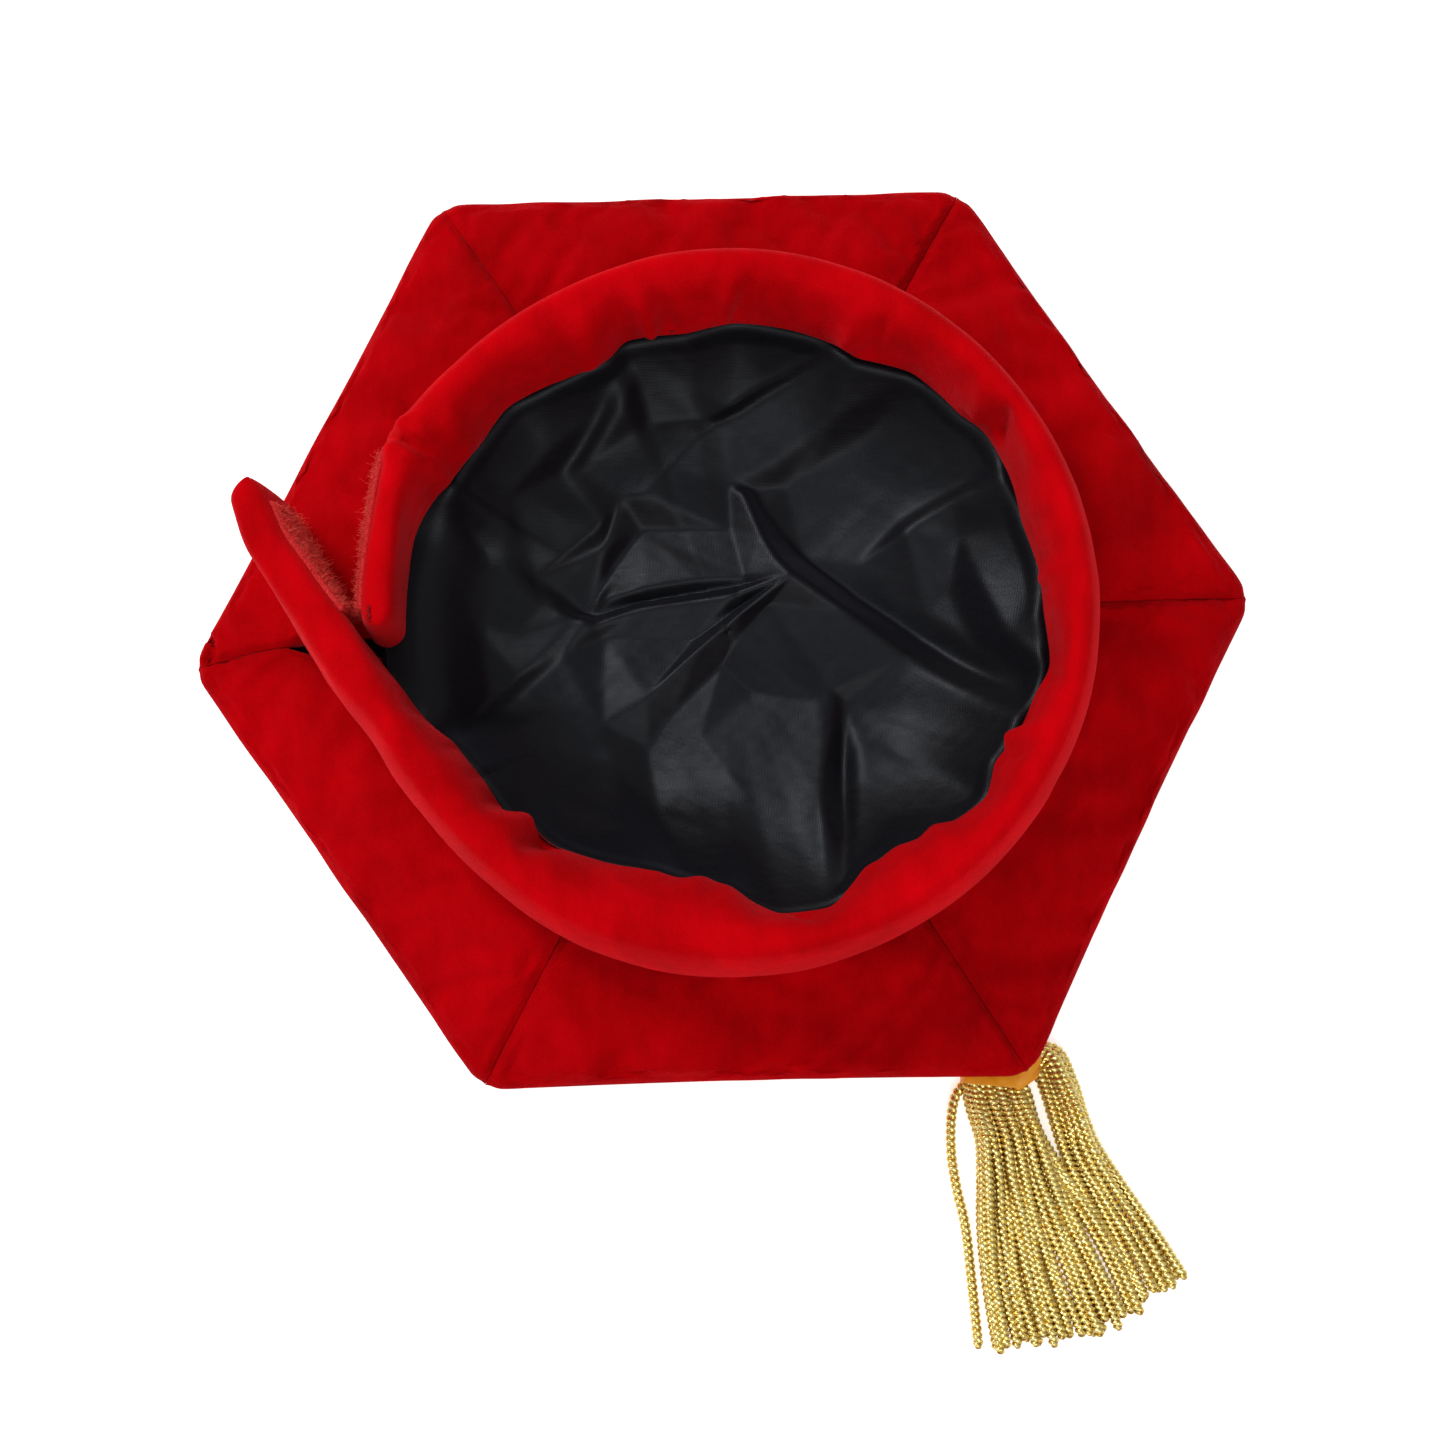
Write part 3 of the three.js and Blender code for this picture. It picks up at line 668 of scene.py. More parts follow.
def swell(piece, free, cap, pressure):
    """Swells a closed padded mesh by cloth simulation. free is 0 where it is sewn and 1 where it can move."""
    rest = np.array([v.co for v in piece.data.vertices])
    group = piece.vertex_groups.new(name="sewn")
    for index, share in enumerate(free):
        group.add([index], float(1 - share), "REPLACE")
    cloth = piece.modifiers.new("cloth", "CLOTH")
    settings = {
        "quality": 4, "mass": 0.3, "tension_stiffness": 8, "compression_stiffness": 8,
        "bending_stiffness": 0.3,
        "vertex_group_mass": "sewn", "pin_stiffness": 1.0, "shrink_min": -0.035, "use_pressure": True,
        "uniform_pressure_force": pressure,
    }
    for key, value in settings.items():
        setattr(cloth.settings, key, value)
    cloth.settings.effector_weights.gravity = 0
    for number in range(1, 16):
        scene.frame_set(number)
    shaped = piece.evaluated_get(bpy.context.evaluated_depsgraph_get()).to_mesh()
    moved = np.array([v.co for v in shaped.vertices]) - rest
    piece.modifiers.clear()
    piece.vertex_groups.clear()
    scene.frame_set(1)
    reach = np.linalg.norm(moved, axis=1)
    allowed = cap * MM * np.asarray(free)
    moved *= np.where(reach > allowed, allowed / np.maximum(reach, 1e-9), 1)[:, None]
    piece.data.vertices.foreach_set("co", (rest + moved).astype(np.float32).ravel())
    piece.data.update()


def underside_rows(side, share, across):
    """One row of a panel from seam to seam, on its face and on its back."""
    plan, seam = panel_place(side, share, across, FOOT_RADIUS, slit_inset(side))
    plan = seam_bow(side, rounded_corner(plan, seam, share), share)
    height = np.full(len(plan), np.interp(share, *UNDER_FACE.T))
    spot = np.c_[plan, height]
    if side in CLOSURE_SIDES:
        height -= pucker_depth(plan)
    inside = ramp(share, -0.05, 0.1) * ramp(1 - share, 0.0, 0.12)
    height -= 1.9 * bell(seam, 1.5) * lerp(0.45, 1, inside)
    height -= 0.8 * bell(seam, 5.5) * inside
    height += 0.55 * ramp(seam, 2, 16) * inside
    height += inside * (0.5 * waves(spot, 26, 11 + side) + 0.22 * waves(spot, 9, 31 + side))
    height += 0.25 * inside * np.exp(-seam / 5) * waves(spot, 5, 51 + side)
    wobble = 0.35 * ramp(share, 0.85, 1.0) * waves(spot, 16, 71 + side)
    plan = plan * (1 + wobble / np.linalg.norm(plan, axis=1))[:, None]
    thick = lerp(0.9, 4.2, ramp(1 - share, 0.0, 0.16)) * lerp(0.5, 1, ramp(seam, 0, 3))
    return np.c_[plan, height], np.c_[plan * (1 - 0.008 * ramp(share, 0.9, 1)), height - thick]


def add_underside():
    """Six padded underside panels, drawn down into the seams. Cloth simulation swells their faces."""
    across = lateral(64)
    down = np.r_[np.linspace(-0.03, 0.9, 30), 0.925, 0.945, 0.96, 0.972, 0.982, 0.99, 0.996, 1.0]
    for side in range(6):
        top, bottom = zip(*(underside_rows(side, share, across) for share in down))
        rings = np.array([*top, *bottom[::-1]]).transpose(1, 0, 2)
        piece = loft(f"underside_velvet_{side + 1}", rings, VELVET)
        from_seam = np.minimum(np.arange(len(across)), len(across) - 1 - np.arange(len(across)))
        face = ramp(from_seam, 0, 6)[:, None] * ramp(np.minimum(down + 0.03, 1 - down), 0, 0.07)[None]
        swell(piece, np.r_[np.concatenate([face, 0 * face], 1).ravel(), 0, 0], cap=2.2, pressure=4.0)
        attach(piece, "tam")
        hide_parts(f"underside_panel_{side + 1}", f"underside_interlining_{side + 1}")


add_underside()

# Heights of the crown top's face and back from the button out to the crown's edge: [share, height].
TOP_FACE = np.array([[0, 8.4], [0.05, 7.4], [0.1, 3.6], [0.15, 0.9], [0.2, 0.05], [0.8, 0.05], [0.86, 1.1],
                     [0.91, 3.8], [0.96, 8.6], [0.99, 12.3], [1, 14.3]])
TOP_BACK = np.array([[0, 9.8], [0.11, 9.8], [0.18, 5], [0.8, 5], [0.86, 6.2], [0.91, 8.6], [0.95, 12],
                     [0.985, 14.4], [1, 14.45]])


def crown_top_rows(side, share, across):
    """One row of a top panel from seam to seam, on its face and on its back."""
    plan, seam = panel_place(side, share, across, CROWN_HOLE, lambda *_: SEAM_GAP / 2)
    plan = rounded_corner(plan, seam, share)
    low, high = np.interp(share, *TOP_FACE.T), np.interp(share, *TOP_BACK.T)
    spot = np.c_[plan, np.full(len(plan), low)]
    width = min(6.0, 0.9 * float(seam.max()) + 0.2)
    full = np.sqrt(ramp(seam, -0.3 * width, width))
    free = ramp(share, 0.02, 0.12) * ramp(1 - share, 0.0, 0.1)
    height = lerp(high - 0.9, low, full)
    height += free * full * (0.16 + 0.16 * waves(spot, 7, 91 + side))
    height += 0.3 * free * np.exp(-seam / 4) * waves(spot, 4.5, 97 + side)
    back = np.c_[plan * (1 - 0.004 * ramp(share, 0.9, 1)), np.full(len(plan), high)]
    return np.c_[plan, np.clip(height, 0.04, high - 0.15)], back


def add_crown_top():
    """Six padded top panels that meet in furrows and dip to the button; the crown lies on them."""
    across = lateral(48)
    down = np.r_[np.linspace(0, 0.2, 12), np.linspace(0.24, 0.8, 20), np.linspace(0.82, 1.0, 17)]
    for side in range(6):
        face, back = zip(*(crown_top_rows(side, share, across) for share in down))
        rings = np.array([*face, *back[::-1]]).transpose(1, 0, 2)
        piece = loft(f"crown_velvet_{side + 1}", rings, VELVET)
        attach(piece, "tam")
        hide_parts(f"crown_top_panel_{side + 1}")


add_crown_top()


def add_button():
    """Velvet-covered button, with its cover gathered under the rim."""
    profile = curve([[0, 0.45], [3, 0.5], [6.5, 0.75], [9, 1.4], [10.7, 2.5], [11, 3.4], [10, 4.5], [7, 4.7],
                     [3.2, 4.7], [3.1, 6], [3.1, 7.1]], count=34)
    angle = circle(72)
    rings = []
    for r, z in profile[1:]:
        pleat = 0.22 * np.sin(angle * 18 + 0.7 * np.sin(angle * 3)) * ramp(r, 5, 10.5) * ramp(z, 0.8, 2.6)
        rings.append(polar(r + pleat, angle, z - 0.1 * pleat))
    button = loft("covered_button", rings, VELVET)
    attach(button, "tam")
    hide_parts("crown_button")


add_button()


# ---- lining ---------------------------------------------------------------------------------------
# Where the facing of the band ends, seen from above: [azimuth, radius].
FACING_EDGE = np.array([
    [-180, 91.5], [-172, 89.5], [-164, 86.6], [-157, 81], [-148, 79], [-139.5, 80.2], [-135.5, 77.6],
    [-130, 77.8], [-121, 75.6], [-108, 72.8], [-93, 74.6], [-84, 82.4], [-74, 84.2], [-66, 78.4],
    [-58, 78.4], [-47, 82.6], [-39, 85.4], [-33, 82], [-26, 84.5], [-18, 85.3], [-13, 88], [-3, 85.1],
    [7, 85.2], [14, 83.9], [24, 86.3], [33, 87], [38, 84.6], [50, 84.8], [60, 79.4], [66, 81],
    [78, 81.5], [85, 81.8], [95, 78.6], [107, 81.2], [111, 77.3], [119, 78.2], [132, 83.4],
    [141, 82.1], [153, 83.6], [162, 87.1], [173, 88.5], [180, 91.5],
])
BAND_CENTRE = np.array([1.0, 0.0])
BAND_TOP = 62.0
FACING_LENGTH = 25.5


def facing_radius(azimuth):
    """azimuth in degrees. Averaging over a few degrees keeps the scallops round."""
    dense = np.linspace(-180, 180, 721)
    value = np.interp(dense, *FACING_EDGE.T)
    kernel = bell(np.linspace(-2, 2, 13), 1)
    value = np.convolve(np.r_[value[-7:-1], value, value[1:7]], kernel / kernel.sum(), "valid")
    return np.interp((np.asarray(azimuth, float) + 180) % 360 - 180, dense, value)



def facing_drop(azimuth, path_radius):
    """Radius and height of the facing's lower edge: the further it leans in, the higher it ends."""
    radius = facing_radius(azimuth)
    lean = np.clip(path_radius - 1.0 - radius, 4, 21)
    return radius, BAND_TOP - np.sqrt(FACING_LENGTH ** 2 - lean ** 2)


def closure_share(azimuth):
    """1 in the closure's gap and 0 elsewhere, in degrees round."""
    away = np.cos(np.radians(azimuth - 177))
    return ramp(away, math.cos(math.radians(26)), math.cos(math.radians(14)))


def lining_top(azimuth):
    """Radius and height of the lining's sewn edge: behind the facing, but low at the closure."""
    wrapped = (azimuth + 180) % 360 - 180
    radius, height = facing_drop(azimuth, np.where(np.abs(wrapped) > 150, 96.0, 93.0))
    at_closure = closure_share(azimuth)
    return lerp(radius, 92.0, at_closure), lerp(height, 30.4, at_closure)


# Fold lines of the lining's tip: points with their height over the lying cloth. Flat facets span between.
APEX = (19, 14, 13)
FOLD_LINES = [
    [APEX, (3, 10, 10), (-10, 9, 8), (-24, 8, 6.5), (-37, 4, 6), (-46, -4, 5), (-64, -20, 4.5),
     (-75, -33, 5)],
    [(5, 13, 5), (-7, 11.8, 3.5), (-22, 10.6, 2), (-38, 7, 1), (-58, -8, 0), (-78, -26, 1.5)],
    [(6, 14, 8), (-7, 14.5, 8), (-22, 13.5, 6.5), (-33, 11, 5)],
    [APEX, (4, 4, 10), (-8, -5, 8.5), (-23, -17, 7), (-36, -24, 5), (-48, -31, 4)],
    [(6, 8, 6), (-9, -1.5, 4), (-34, 1, 2.5), (-23, -17, 7)],
    [(3, 42, 5), (3, 29, 4.5), (6, 14, 8)],
    [(3, 42, 5), (7, 39, 7.5), (11, 27, 9.5), (15, 19, 11.5), APEX],
    [(-23, 56, 5), (-27, 39, 8), (-32, 26, 8), (-38, 6.5, 7)],
    [(-21, 56, 5), (-20, 39, 9.5), (-22, 31, 3), (-31, 20, 2.5), (-33, 11, 5)],
    [(-22, 31, 3), (6, 14, 8)],
    [(-20, 39, 9.5), (-13, 46, 9), (-4, 54, 8.5), (2, 58, 8), (13, 63, 7.5), (39, 72, 7.5), (60, 80, 7)],
    [(-18, 59, 4.5), (-2, 59.5, 5), (5, 63, 2.5), (14, 68, 1.5), (38, 77, 3)],
    [(3, 42, 5), (15, 46, 7.5), (32, 56, 7), (60, 67, 7.5), (76, 74, 7)],
    [(10, 40, 3), (19, 41, 2.5), (37, 50, 3), (62, 61, 4)],
    [(12, 34, 4), (22, 21, 0.5), (35, 10, -0.5), (53, -4, -1), (80, -26, 1)],
    [APEX, (34, 3, 8.5), (49, -10, 7), (77, -33, 8)],
    [(37, 17, 3), (51, 25, 9), (64, 31, 9), (84, 36, 9)],
    [(51, 28, 4.5), (67, 34.5, 3.5), (82, 40, 4.5)],
    [(41, 38, 3.5), (37, 17, 3), (56, 2, 3), (72, -12, 3.5)],
    [(12, 7, 7), (2, -3, 6), (24, -21, 5.5), (47, -27, 3.5), (73, -43, 5)],
    [(-2, -9, 3), (6, -17, 2.5), (28, -18, 5)],
    [(28, -18, 5), (25, -38, 8.5), (23, -53, 10.5), (22, -76, 7)],
    [(31, -21, 3), (29, -41, 0.5), (28, -74, 1)],
    [(34, -36, 5.5), (33, -50, 5), (42, -56, 4), (38, -74, 5)],
    [(-16, -21, 3), (-9, -29, 5), (2, -46, 9), (23, -53, 10.5)],
    [(-23, -17, 7), (-16, -21, 3), (-2, -9, 3)],
    [(-24, -31, 2), (-22, -50, 0), (-14, -72, 0)],
    [(-33, -36, 4.5), (-31, -54, 5), (-26, -76, 5)],
    [(-12, -42, 4.5), (-10, -56, 5.5), (-2, -78, 6)],
    [(66, 22, 3), (70, 8, 8), (76, -8, 8), (86, -22, 8)],
    [(62, 8, 3.5), (68, -8, 3), (80, -18, 3)],
    [(80, 22, 2), (88, 6, 1)],
    [(-20, 74, 5), (-26, 61, 7), (-37, 48, 5)],
    [(-27, 70, 2.5), (-32, 61, 2), (-43, 47, 2)],
    [(-52, 19, 1.5), (-33, 33, 3.5)],
    [(-52, 19, 1.5), (-51, 11, 4.5), (-44, 7, 6.5), (-38, 6.5, 7)],
    [(-70, 6, 4), (-58, 2, 4.5), (-51, 11, 4.5)],
    [(-46, 52, 6), (-58, 40, 3), (-72, 34, 5)],
    [(-60, 24, 5), (-76, 18, 2.5)],
    [(48, -42, 5.5), (62, -56, 3), (70, -60, 5)],
    [(-52, -44, 6), (-44, -62, 3), (-40, -76, 5)],
]
LINING_RIM = 98.0


def facets(plan):
    """Heights of the crumpled cloth at plan points: flat triangles between fold lines and sewn rim."""
    a = circle(36)
    rim = [tuple(p) for p in polar(LINING_RIM, a, 4.5 + 2.2 * np.sin(7 * a + 1.3 * np.sin(3 * a)))]
    places, edges = [], []
    for line in [*FOLD_LINES, rim + rim[:1]]:
        for point in line:
            if point not in places:
                places.append(point)
        edges += [(places.index(a), places.index(b)) for a, b in zip(line[:-1], line[1:])]
    flat = [Vector(p[:2]) for p in places]
    corners, _, triangles, sources, _, _ = delaunay_2d_cdt(flat, edges, [], 0, 1e-4, True)
    solid = []
    for corner, source in zip(corners, sources):
        nearest = int(np.argmin([math.dist(corner, p[:2]) for p in places]))
        solid.append([*corner, places[source[0] if source else nearest][2]])
    result = np.full(len(plan), 4.0)
    x, y = plan.T
    for triangle in triangles:
        a, b, c = (solid[k] for k in triangle)
        area = (b[0] - a[0]) * (c[1] - a[1]) - (b[1] - a[1]) * (c[0] - a[0])
        u = ((b[0] - x) * (c[1] - y) - (b[1] - y) * (c[0] - x)) / area
        v = ((c[0] - x) * (a[1] - y) - (c[1] - y) * (a[0] - x)) / area
        w = 1 - u - v
        inside = (u >= -1e-9) & (v >= -1e-9) & (w >= -1e-9)
        result[inside] = (u * a[2] + v * b[2] + w * c[2])[inside]
    return result


def softened(field, times):
    """A few rounds of averaging over a polar grid, rings x spokes."""
    for _ in range(times):
        ahead, behind = np.roll(field, 1, 1), np.roll(field, -1, 1)
        inner, outer = np.vstack([field[:1], field[:-1]]), np.vstack([field[1:], field[-1:]])
        field = field * 0.5 + (ahead + behind + inner + outer) * 0.125
    return field


def edge_radius(angle):
    """Distance from the middle to the crown's edge in each direction."""
    along = np.roll(CORNERS, -1, 0) - CORNERS
    outward = np.stack([-along[:, 1], along[:, 0]], 1)
    reach = (outward * CORNERS).sum(1) / (polar(1, angle) @ outward.T)
    return np.where(reach > 0, reach, np.inf).min(1)


def add_lining_tip():
    """The loose taffeta over the crown, crumpled as it lies and sewn up to the facing's edge."""
    rings, spokes = 150, 440
    angle = circle(spokes)
    azimuth = np.degrees(angle)
    edge, edge_height = lining_top(azimuth)
    radius = np.linspace(0.004, 1, rings)[:, None] * (edge + 2.2)
    plan = polar(radius, angle).reshape(-1, 2)
    spot = np.c_[plan, np.zeros(len(plan))]
    relief = softened(facets(plan).reshape(rings, spokes), 10)
    crumple = 0.35 * waves(spot, 30, 201) + 0.16 * waves(spot, 11, 203) + 0.07 * waves(spot, 5, 205)
    relief += crumple.reshape(rings, spokes)
    height = np.maximum(9.6 + relief, 7.9 + np.where(radius < 26, 4.2, 0))
    outward = np.clip((radius / (edge + 1) - 0.42) / 0.58, 0, 1)
    near = closure_share(azimuth)
    held = ramp(radius - edge, lerp(-3.5, -26, near), lerp(1.5, -6.4, near))
    height += (edge_height - 14.5) * outward ** 2.4
    height = lerp(height, edge_height - lerp(2.2, 1.0, near), held)
    points = np.vstack([np.c_[plan, height.ravel()], [0, 0, height[0].mean()]])
    faces = grid_faces(rings, spokes, wrap=True)
    faces += [(len(points) - 1, j, (j + 1) % spokes) for j in range(spokes)]
    tip = make("lining_tip_cloth", points, faces, TAFFETA)
    tip.modifiers.new("cloth_thickness", "SOLIDIFY").thickness = -0.25 * MM
    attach(tip, "tam")
    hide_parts("lining_tip")


add_lining_tip()


def add_lining_side():
    """The ring of lining from the facing's edge down, and out under the underside."""
    angle = circle(420)
    top_radius, top_height = lining_top(np.degrees(angle))
    hem = lerp(88, edge_radius(angle), 0.72)
    waist = 85.6
    waist_radius = lerp(np.minimum(top_radius + 1.5, waist), waist, 0.6)
    rows = []
    for t in np.r_[np.linspace(0, 1, 16)[:-1], 1 + np.linspace(0, 1, 18)]:
        if t <= 1:
            r = lerp(top_radius + 0.9, waist_radius, ramp(t, 0.1, 1))
            z = lerp(top_height + 1.4, 22.8, t ** 0.8)
        else:
            r = lerp(waist_radius, hem, t - 1)
            z = lerp(22.8, 13.4, (t - 1) ** 0.85) - 2.2 * math.sin(math.pi * min((t - 1) * 1.4, 1))
        fold = 0.9 * waves(polar(r, angle, t * 12.0), 9, 221) * ramp(t, 0.05, 0.6) * (1 - ramp(t, 1.5, 2.0))
        rows.append(polar(r - 1.2 * np.abs(fold) * (t < 1.1), angle, z + 0.5 * fold * (t > 0.2)))
    faces = grid_faces(len(rows), len(angle), wrap=True)
    side = make("lining_side_cloth", np.vstack(rows), faces, TAFFETA)
    side.modifiers.new("cloth_thickness", "SOLIDIFY").thickness = 0.25 * MM
    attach(side, "tam")
    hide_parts("lining_side")


add_lining_side()


# ---- padded headband and its two ends ---------------------------------------------------------------
SHORT_ROOT, SHORT_TIP = (-84, 48.5), (-92, -1.5)
STRAP_ROOT, STRAP_TIP = (-100, -15.5), (-127, 36.5)
STRAP_TOP, STRAP_FOOT = 61.5, 28.8
RIDGE, FACING = 10, 18      # places in a section, which starts at the sewn foot
KINK_NORMAL = np.array([-0.871, 0.491])     # outward where the ring and the short end part


def band_point(azimuth, radius=93.0):
    return BAND_CENTRE + polar(radius, math.radians(azimuth))


RING_ROUTE = [
    SHORT_ROOT, band_point(136, 94.5), *map(band_point, range(120, -141, -20)), band_point(-155, 94.5),
    (-92.3, -26), STRAP_ROOT,
]
STRAP_ROUTE = [(-107.5, -2.5), (-116, 10.5), (-122.8, 22), STRAP_TIP]
SHORT_ROUTE = [SHORT_TIP, (-91.4, 12), (-88.6, 30), SHORT_ROOT]

# Sections, (outward, height): up the outer wall from the foot, over the ridge, down the facing, back under.
RING_SECTION = np.array([
    (-4.6, 27.9), (-1.6, 29.3), (1.5, 32.2), (3.6, 36.2), (4.9, 40.6), (5.4, 45), (5.2, 50), (4.5, 54.5),
    (3.3, 58.6), (1.9, 61.1), (0, BAND_TOP), (-2.2, 61.5), (-4, 59.8), (-5.4, 57), (-6.5, 53.6), (-7.5, 49.4),
    (-8.3, 45), (-8.8, 41.2), (-9, 38.6), (-8.3, 37.2), (-6.9, 36.6), (-5.6, 34), (-5.1, 31), (-5.6, 28.7),
])


def flat_section(outer, inner):
    """The free ends' section: an upright pad with rounded edges, on the same places as RING_SECTION."""
    o, i = outer, -inner
    return np.array([
        (0.72 * o, 28.9), (0.96 * o, 30.6), (o, 33.6), (o + 0.2, 38), (o + 0.4, 42.5), (o + 0.4, 47),
        (o + 0.3, 51.5), (o, 55.6), (0.88 * o, 58.8), (0.55 * o, 60.9), (0, 61.8), (0.5 * i, 61.3),
        (0.85 * i, 59.4), (i, 56), (i - 0.2, 51.5), (i - 0.2, 47), (i - 0.2, 42), (i - 0.1, 37), (i, 32.6),
        (0.92 * i, 30.2), (0.6 * i, 29), (0.2 * i, 28.8), (0.2 * o, 28.8), (0.5 * o, 28.8),
    ])


def end_growth(distance, radius):
    """How full a round end is, at a distance from its tip."""
    return math.sqrt(max(1 - (1 - min(distance / radius, 1.0)) ** 2, 1e-4))


def drawn_in(section, grow):
    middle = section.mean(0)
    return middle + (section - middle) * np.array([grow, lerp(0.9, 1, grow)])


def end_cap(last_ring, heading, cap, radius):
    """Rings that close a padded end over its last few millimetres."""
    middle = last_ring.mean(0)
    base = end_growth(cap, radius)
    rings = []
    for distance in cap * np.array([0.8, 0.6, 0.42, 0.26, 0.13, 0.05, 0.01]):
        grow = end_growth(distance, radius) / base
        size = np.array([grow, grow, lerp(0.9, 1, grow)])
        rings.append(middle + (last_ring - middle) * size + heading * (cap - distance))
    return rings


def ring_section(edge_x, edge_z):
    """RING_SECTION with its facing drawn to one place of its lower edge."""
    ring = RING_SECTION.copy()
    edge = RING_SECTION[FACING]
    inner = slice(RIDGE + 1, FACING + 1)
    ring[inner, 0] = -2.2 + (edge_x + 2.2) * (ring[inner, 0] + 2.2) / (edge[0] + 2.2)
    ring[inner, 1] = 61.5 - (61.5 - edge_z) * (61.5 - ring[inner, 1]) / (61.5 - edge[1])
    under = slice(FACING + 1, FACING + 6)
    ring[under] += (np.array([edge_x, edge_z]) - edge) * np.array([0.92, 0.74, 0.45, 0.2, 0.05])[:, None]
    return ring


# Folds of the facing: azimuth, width in degrees, how far it stands in (or back), slant in degrees.
FACING_FOLDS = [
    (102.5, 2.6, 1.8, -1), (98.5, 1.8, -0.9, -2), (86, 2.2, 1.5, 3), (82.5, 1.5, -0.7, 4), (114, 3.4, 1.3, 2),
    (118.5, 2, -0.9, 2), (62, 2.4, 1.0, 2), (57.5, 1.7, -0.9, 2), (36, 2.6, 1.0, -3), (31, 2.0, -1.2, -2),
    (3, 2.8, 0.9, -2), (-17, 2.0, -0.9, 2), (-26.4, 2.6, 1.5, -3), (-31, 2.2, -0.8, -3), (-52, 3.4, 1.0, 3),
    (-78, 2.4, -0.9, -3), (-101, 3.6, 0.9, 4), (-132, 3.0, -1.2, 2), (-138, 3.4, 1.6, 2), (143, 3, 1.0, 1),
]


def soften_band(points, sections, azimuth, loose, from_kink):
    """How far the folds, gathers and dents move lofted band points, and which way."""
    columns = points.shape[1]
    outward = np.gradient(sections, axis=1)
    normal = np.stack([outward[..., 1], -outward[..., 0]], -1)
    normal /= np.maximum(np.linalg.norm(normal, axis=-1), 1e-6)[..., None]
    place = np.linspace(0, len(RING_SECTION), columns, endpoint=False)[None]
    facing = ramp(place, RIDGE + 0.5, RIDGE + 5) * (1 - ramp(place, FACING, FACING + 1.5))
    depth = np.clip((place - RIDGE) / (FACING - RIDGE), 0, 1)
    wall = ramp(place, 1, 3) * (1 - ramp(place, RIDGE - 2.5, RIDGE + 1))
    az = azimuth[:, None]

    def noise(size, seed, flatten=1.0):
        return waves(points.reshape(-1, 3) * [1, 1, flatten], size, seed).reshape(points.shape[:2])

    fold = np.zeros(points.shape[:2])
    for at, width, high, slant in FACING_FOLDS:
        fold += high * bell((az - at - slant * (depth - 0.5) + 180) % 360 - 180, 0.8 * width)
    gather = np.abs(np.sin(np.radians(az) * 19 + 2.4 * np.sin(np.radians(az) * 5))) - 0.5
    gather = gather * (0.55 + 0.45 * noise(40, 307, 0))
    fine = noise(12, 301)
    move = facing * (2.1 * depth ** 0.6 * fold + depth ** 2 * gather + 0.35 * fine)
    move = move * (1 - 0.75 * loose[:, None])
    move += (0.35 + 0.2 * wall) * noise(34, 303) * ramp(place, 0.5, 2.5) + 0.12 * fine
    move -= 1.1 * np.maximum(0, noise(15, 305, 0.35) - 0.45) * wall
    kink = bell(from_kink[:, None], 1.5) - 0.45 * bell(from_kink[:, None] - 4, 2.2)
    move -= 3.4 * kink * bell(place - RIDGE - 1.5, 2.0)
    return move, normal


def padded_end(line, side, loose_from, loose_to, start, section_at, cap, radius):
    """Rings of the band or of an end, with its cap. side is 1 where the outer wall is left of the line.
    The section changes from the ring's to section_at's from loose_from to loose_to, measured past start."""
    run = distance_along(line)
    past = run - run[start]
    at_kink = (1 - ramp(run, 0, 9))[:, None]
    heading = tangents(line)
    normal = side * np.stack([-heading[:, 1], heading[:, 0]], 1)
    normal = unit(normal * (1 - at_kink) + KINK_NORMAL * at_kink)
    azimuth = np.degrees(np.arctan2(line[:, 1], line[:, 0]))
    reach = np.linalg.norm(line, axis=1)
    edge_radius_here, edge_z = facing_drop(azimuth, reach)
    edge_x = np.clip(edge_radius_here - reach, -20.5, -5)
    loose = ramp(past, loose_from, loose_to)
    control = []
    for k, share in enumerate(np.clip(past / past[-1], 0, 1)):
        free = drawn_in(section_at(share), end_growth((1 - share) * past[-1] + cap, radius))
        control.append(lerp(ring_section(edge_x[k], edge_z[k]), free, loose[k]))
    sections = np.array([curve(s, count=96, closed=True) for s in control])
    flat = np.concatenate([line[:, None] + normal[:, None] * sections[..., :1], sections[..., 1:]], -1)
    move, away = soften_band(flat, sections, azimuth, loose, run)
    flat[..., :2] += normal[:, None, :] * (move * away[..., 0])[..., None]
    flat[..., 2] = np.minimum(flat[..., 2] + move * away[..., 1], BAND_TOP + 0.6)
    rings = [*flat, *end_cap(flat[-1], np.array([*heading[-1], 0]), cap, radius)]
    return rings, (line, normal, sections)



def strap_section(share):
    """The strap's section, which leans outward towards its tip."""
    places = (0, 0.2, 0.45, 0.7, 1)
    section = flat_section(np.interp(share, places, (5.6, 5.2, 4.4, 3.6, 3.9)),
                           np.interp(share, places, (8.0, 8.4, 7.6, 6.9, 5.4)))
    below = STRAP_TOP - section[:, 1]
    flare = np.where(section[:, 0] < 0, 1.5 * below / (STRAP_TOP - STRAP_FOOT), 0)
    section[:, 0] -= ramp(share, 0.25, 0.7) * (0.13 * below + flare)
    return section


def add_band():
    """The padded ring and the long strap, one strip. Returns its wall for the tape, and the strap's root."""
    line = curve(RING_ROUTE + STRAP_ROUTE, step=1.25)
    root = int(np.argmin(np.linalg.norm(line - np.array(STRAP_ROOT), axis=1)))
    rings, wall = padded_end(line, 1, -16, 16, root, strap_section, 3.2, 5.4)
    band = loft("headband_velvet", rings, BAND_VELVET_PAINTED_LIGHTER, flat_ends=True)
    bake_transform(band)
    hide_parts("headband_cover", "headband_foam", "closure_strap_cover", "closure_strap_foam")
    return wall, root


def short_section(share):
    return flat_section(np.interp(share, (0, 0.3, 0.7, 1), (4.2, 4.1, 4.6, 5.2)), lerp(5.4, 4.6, share))


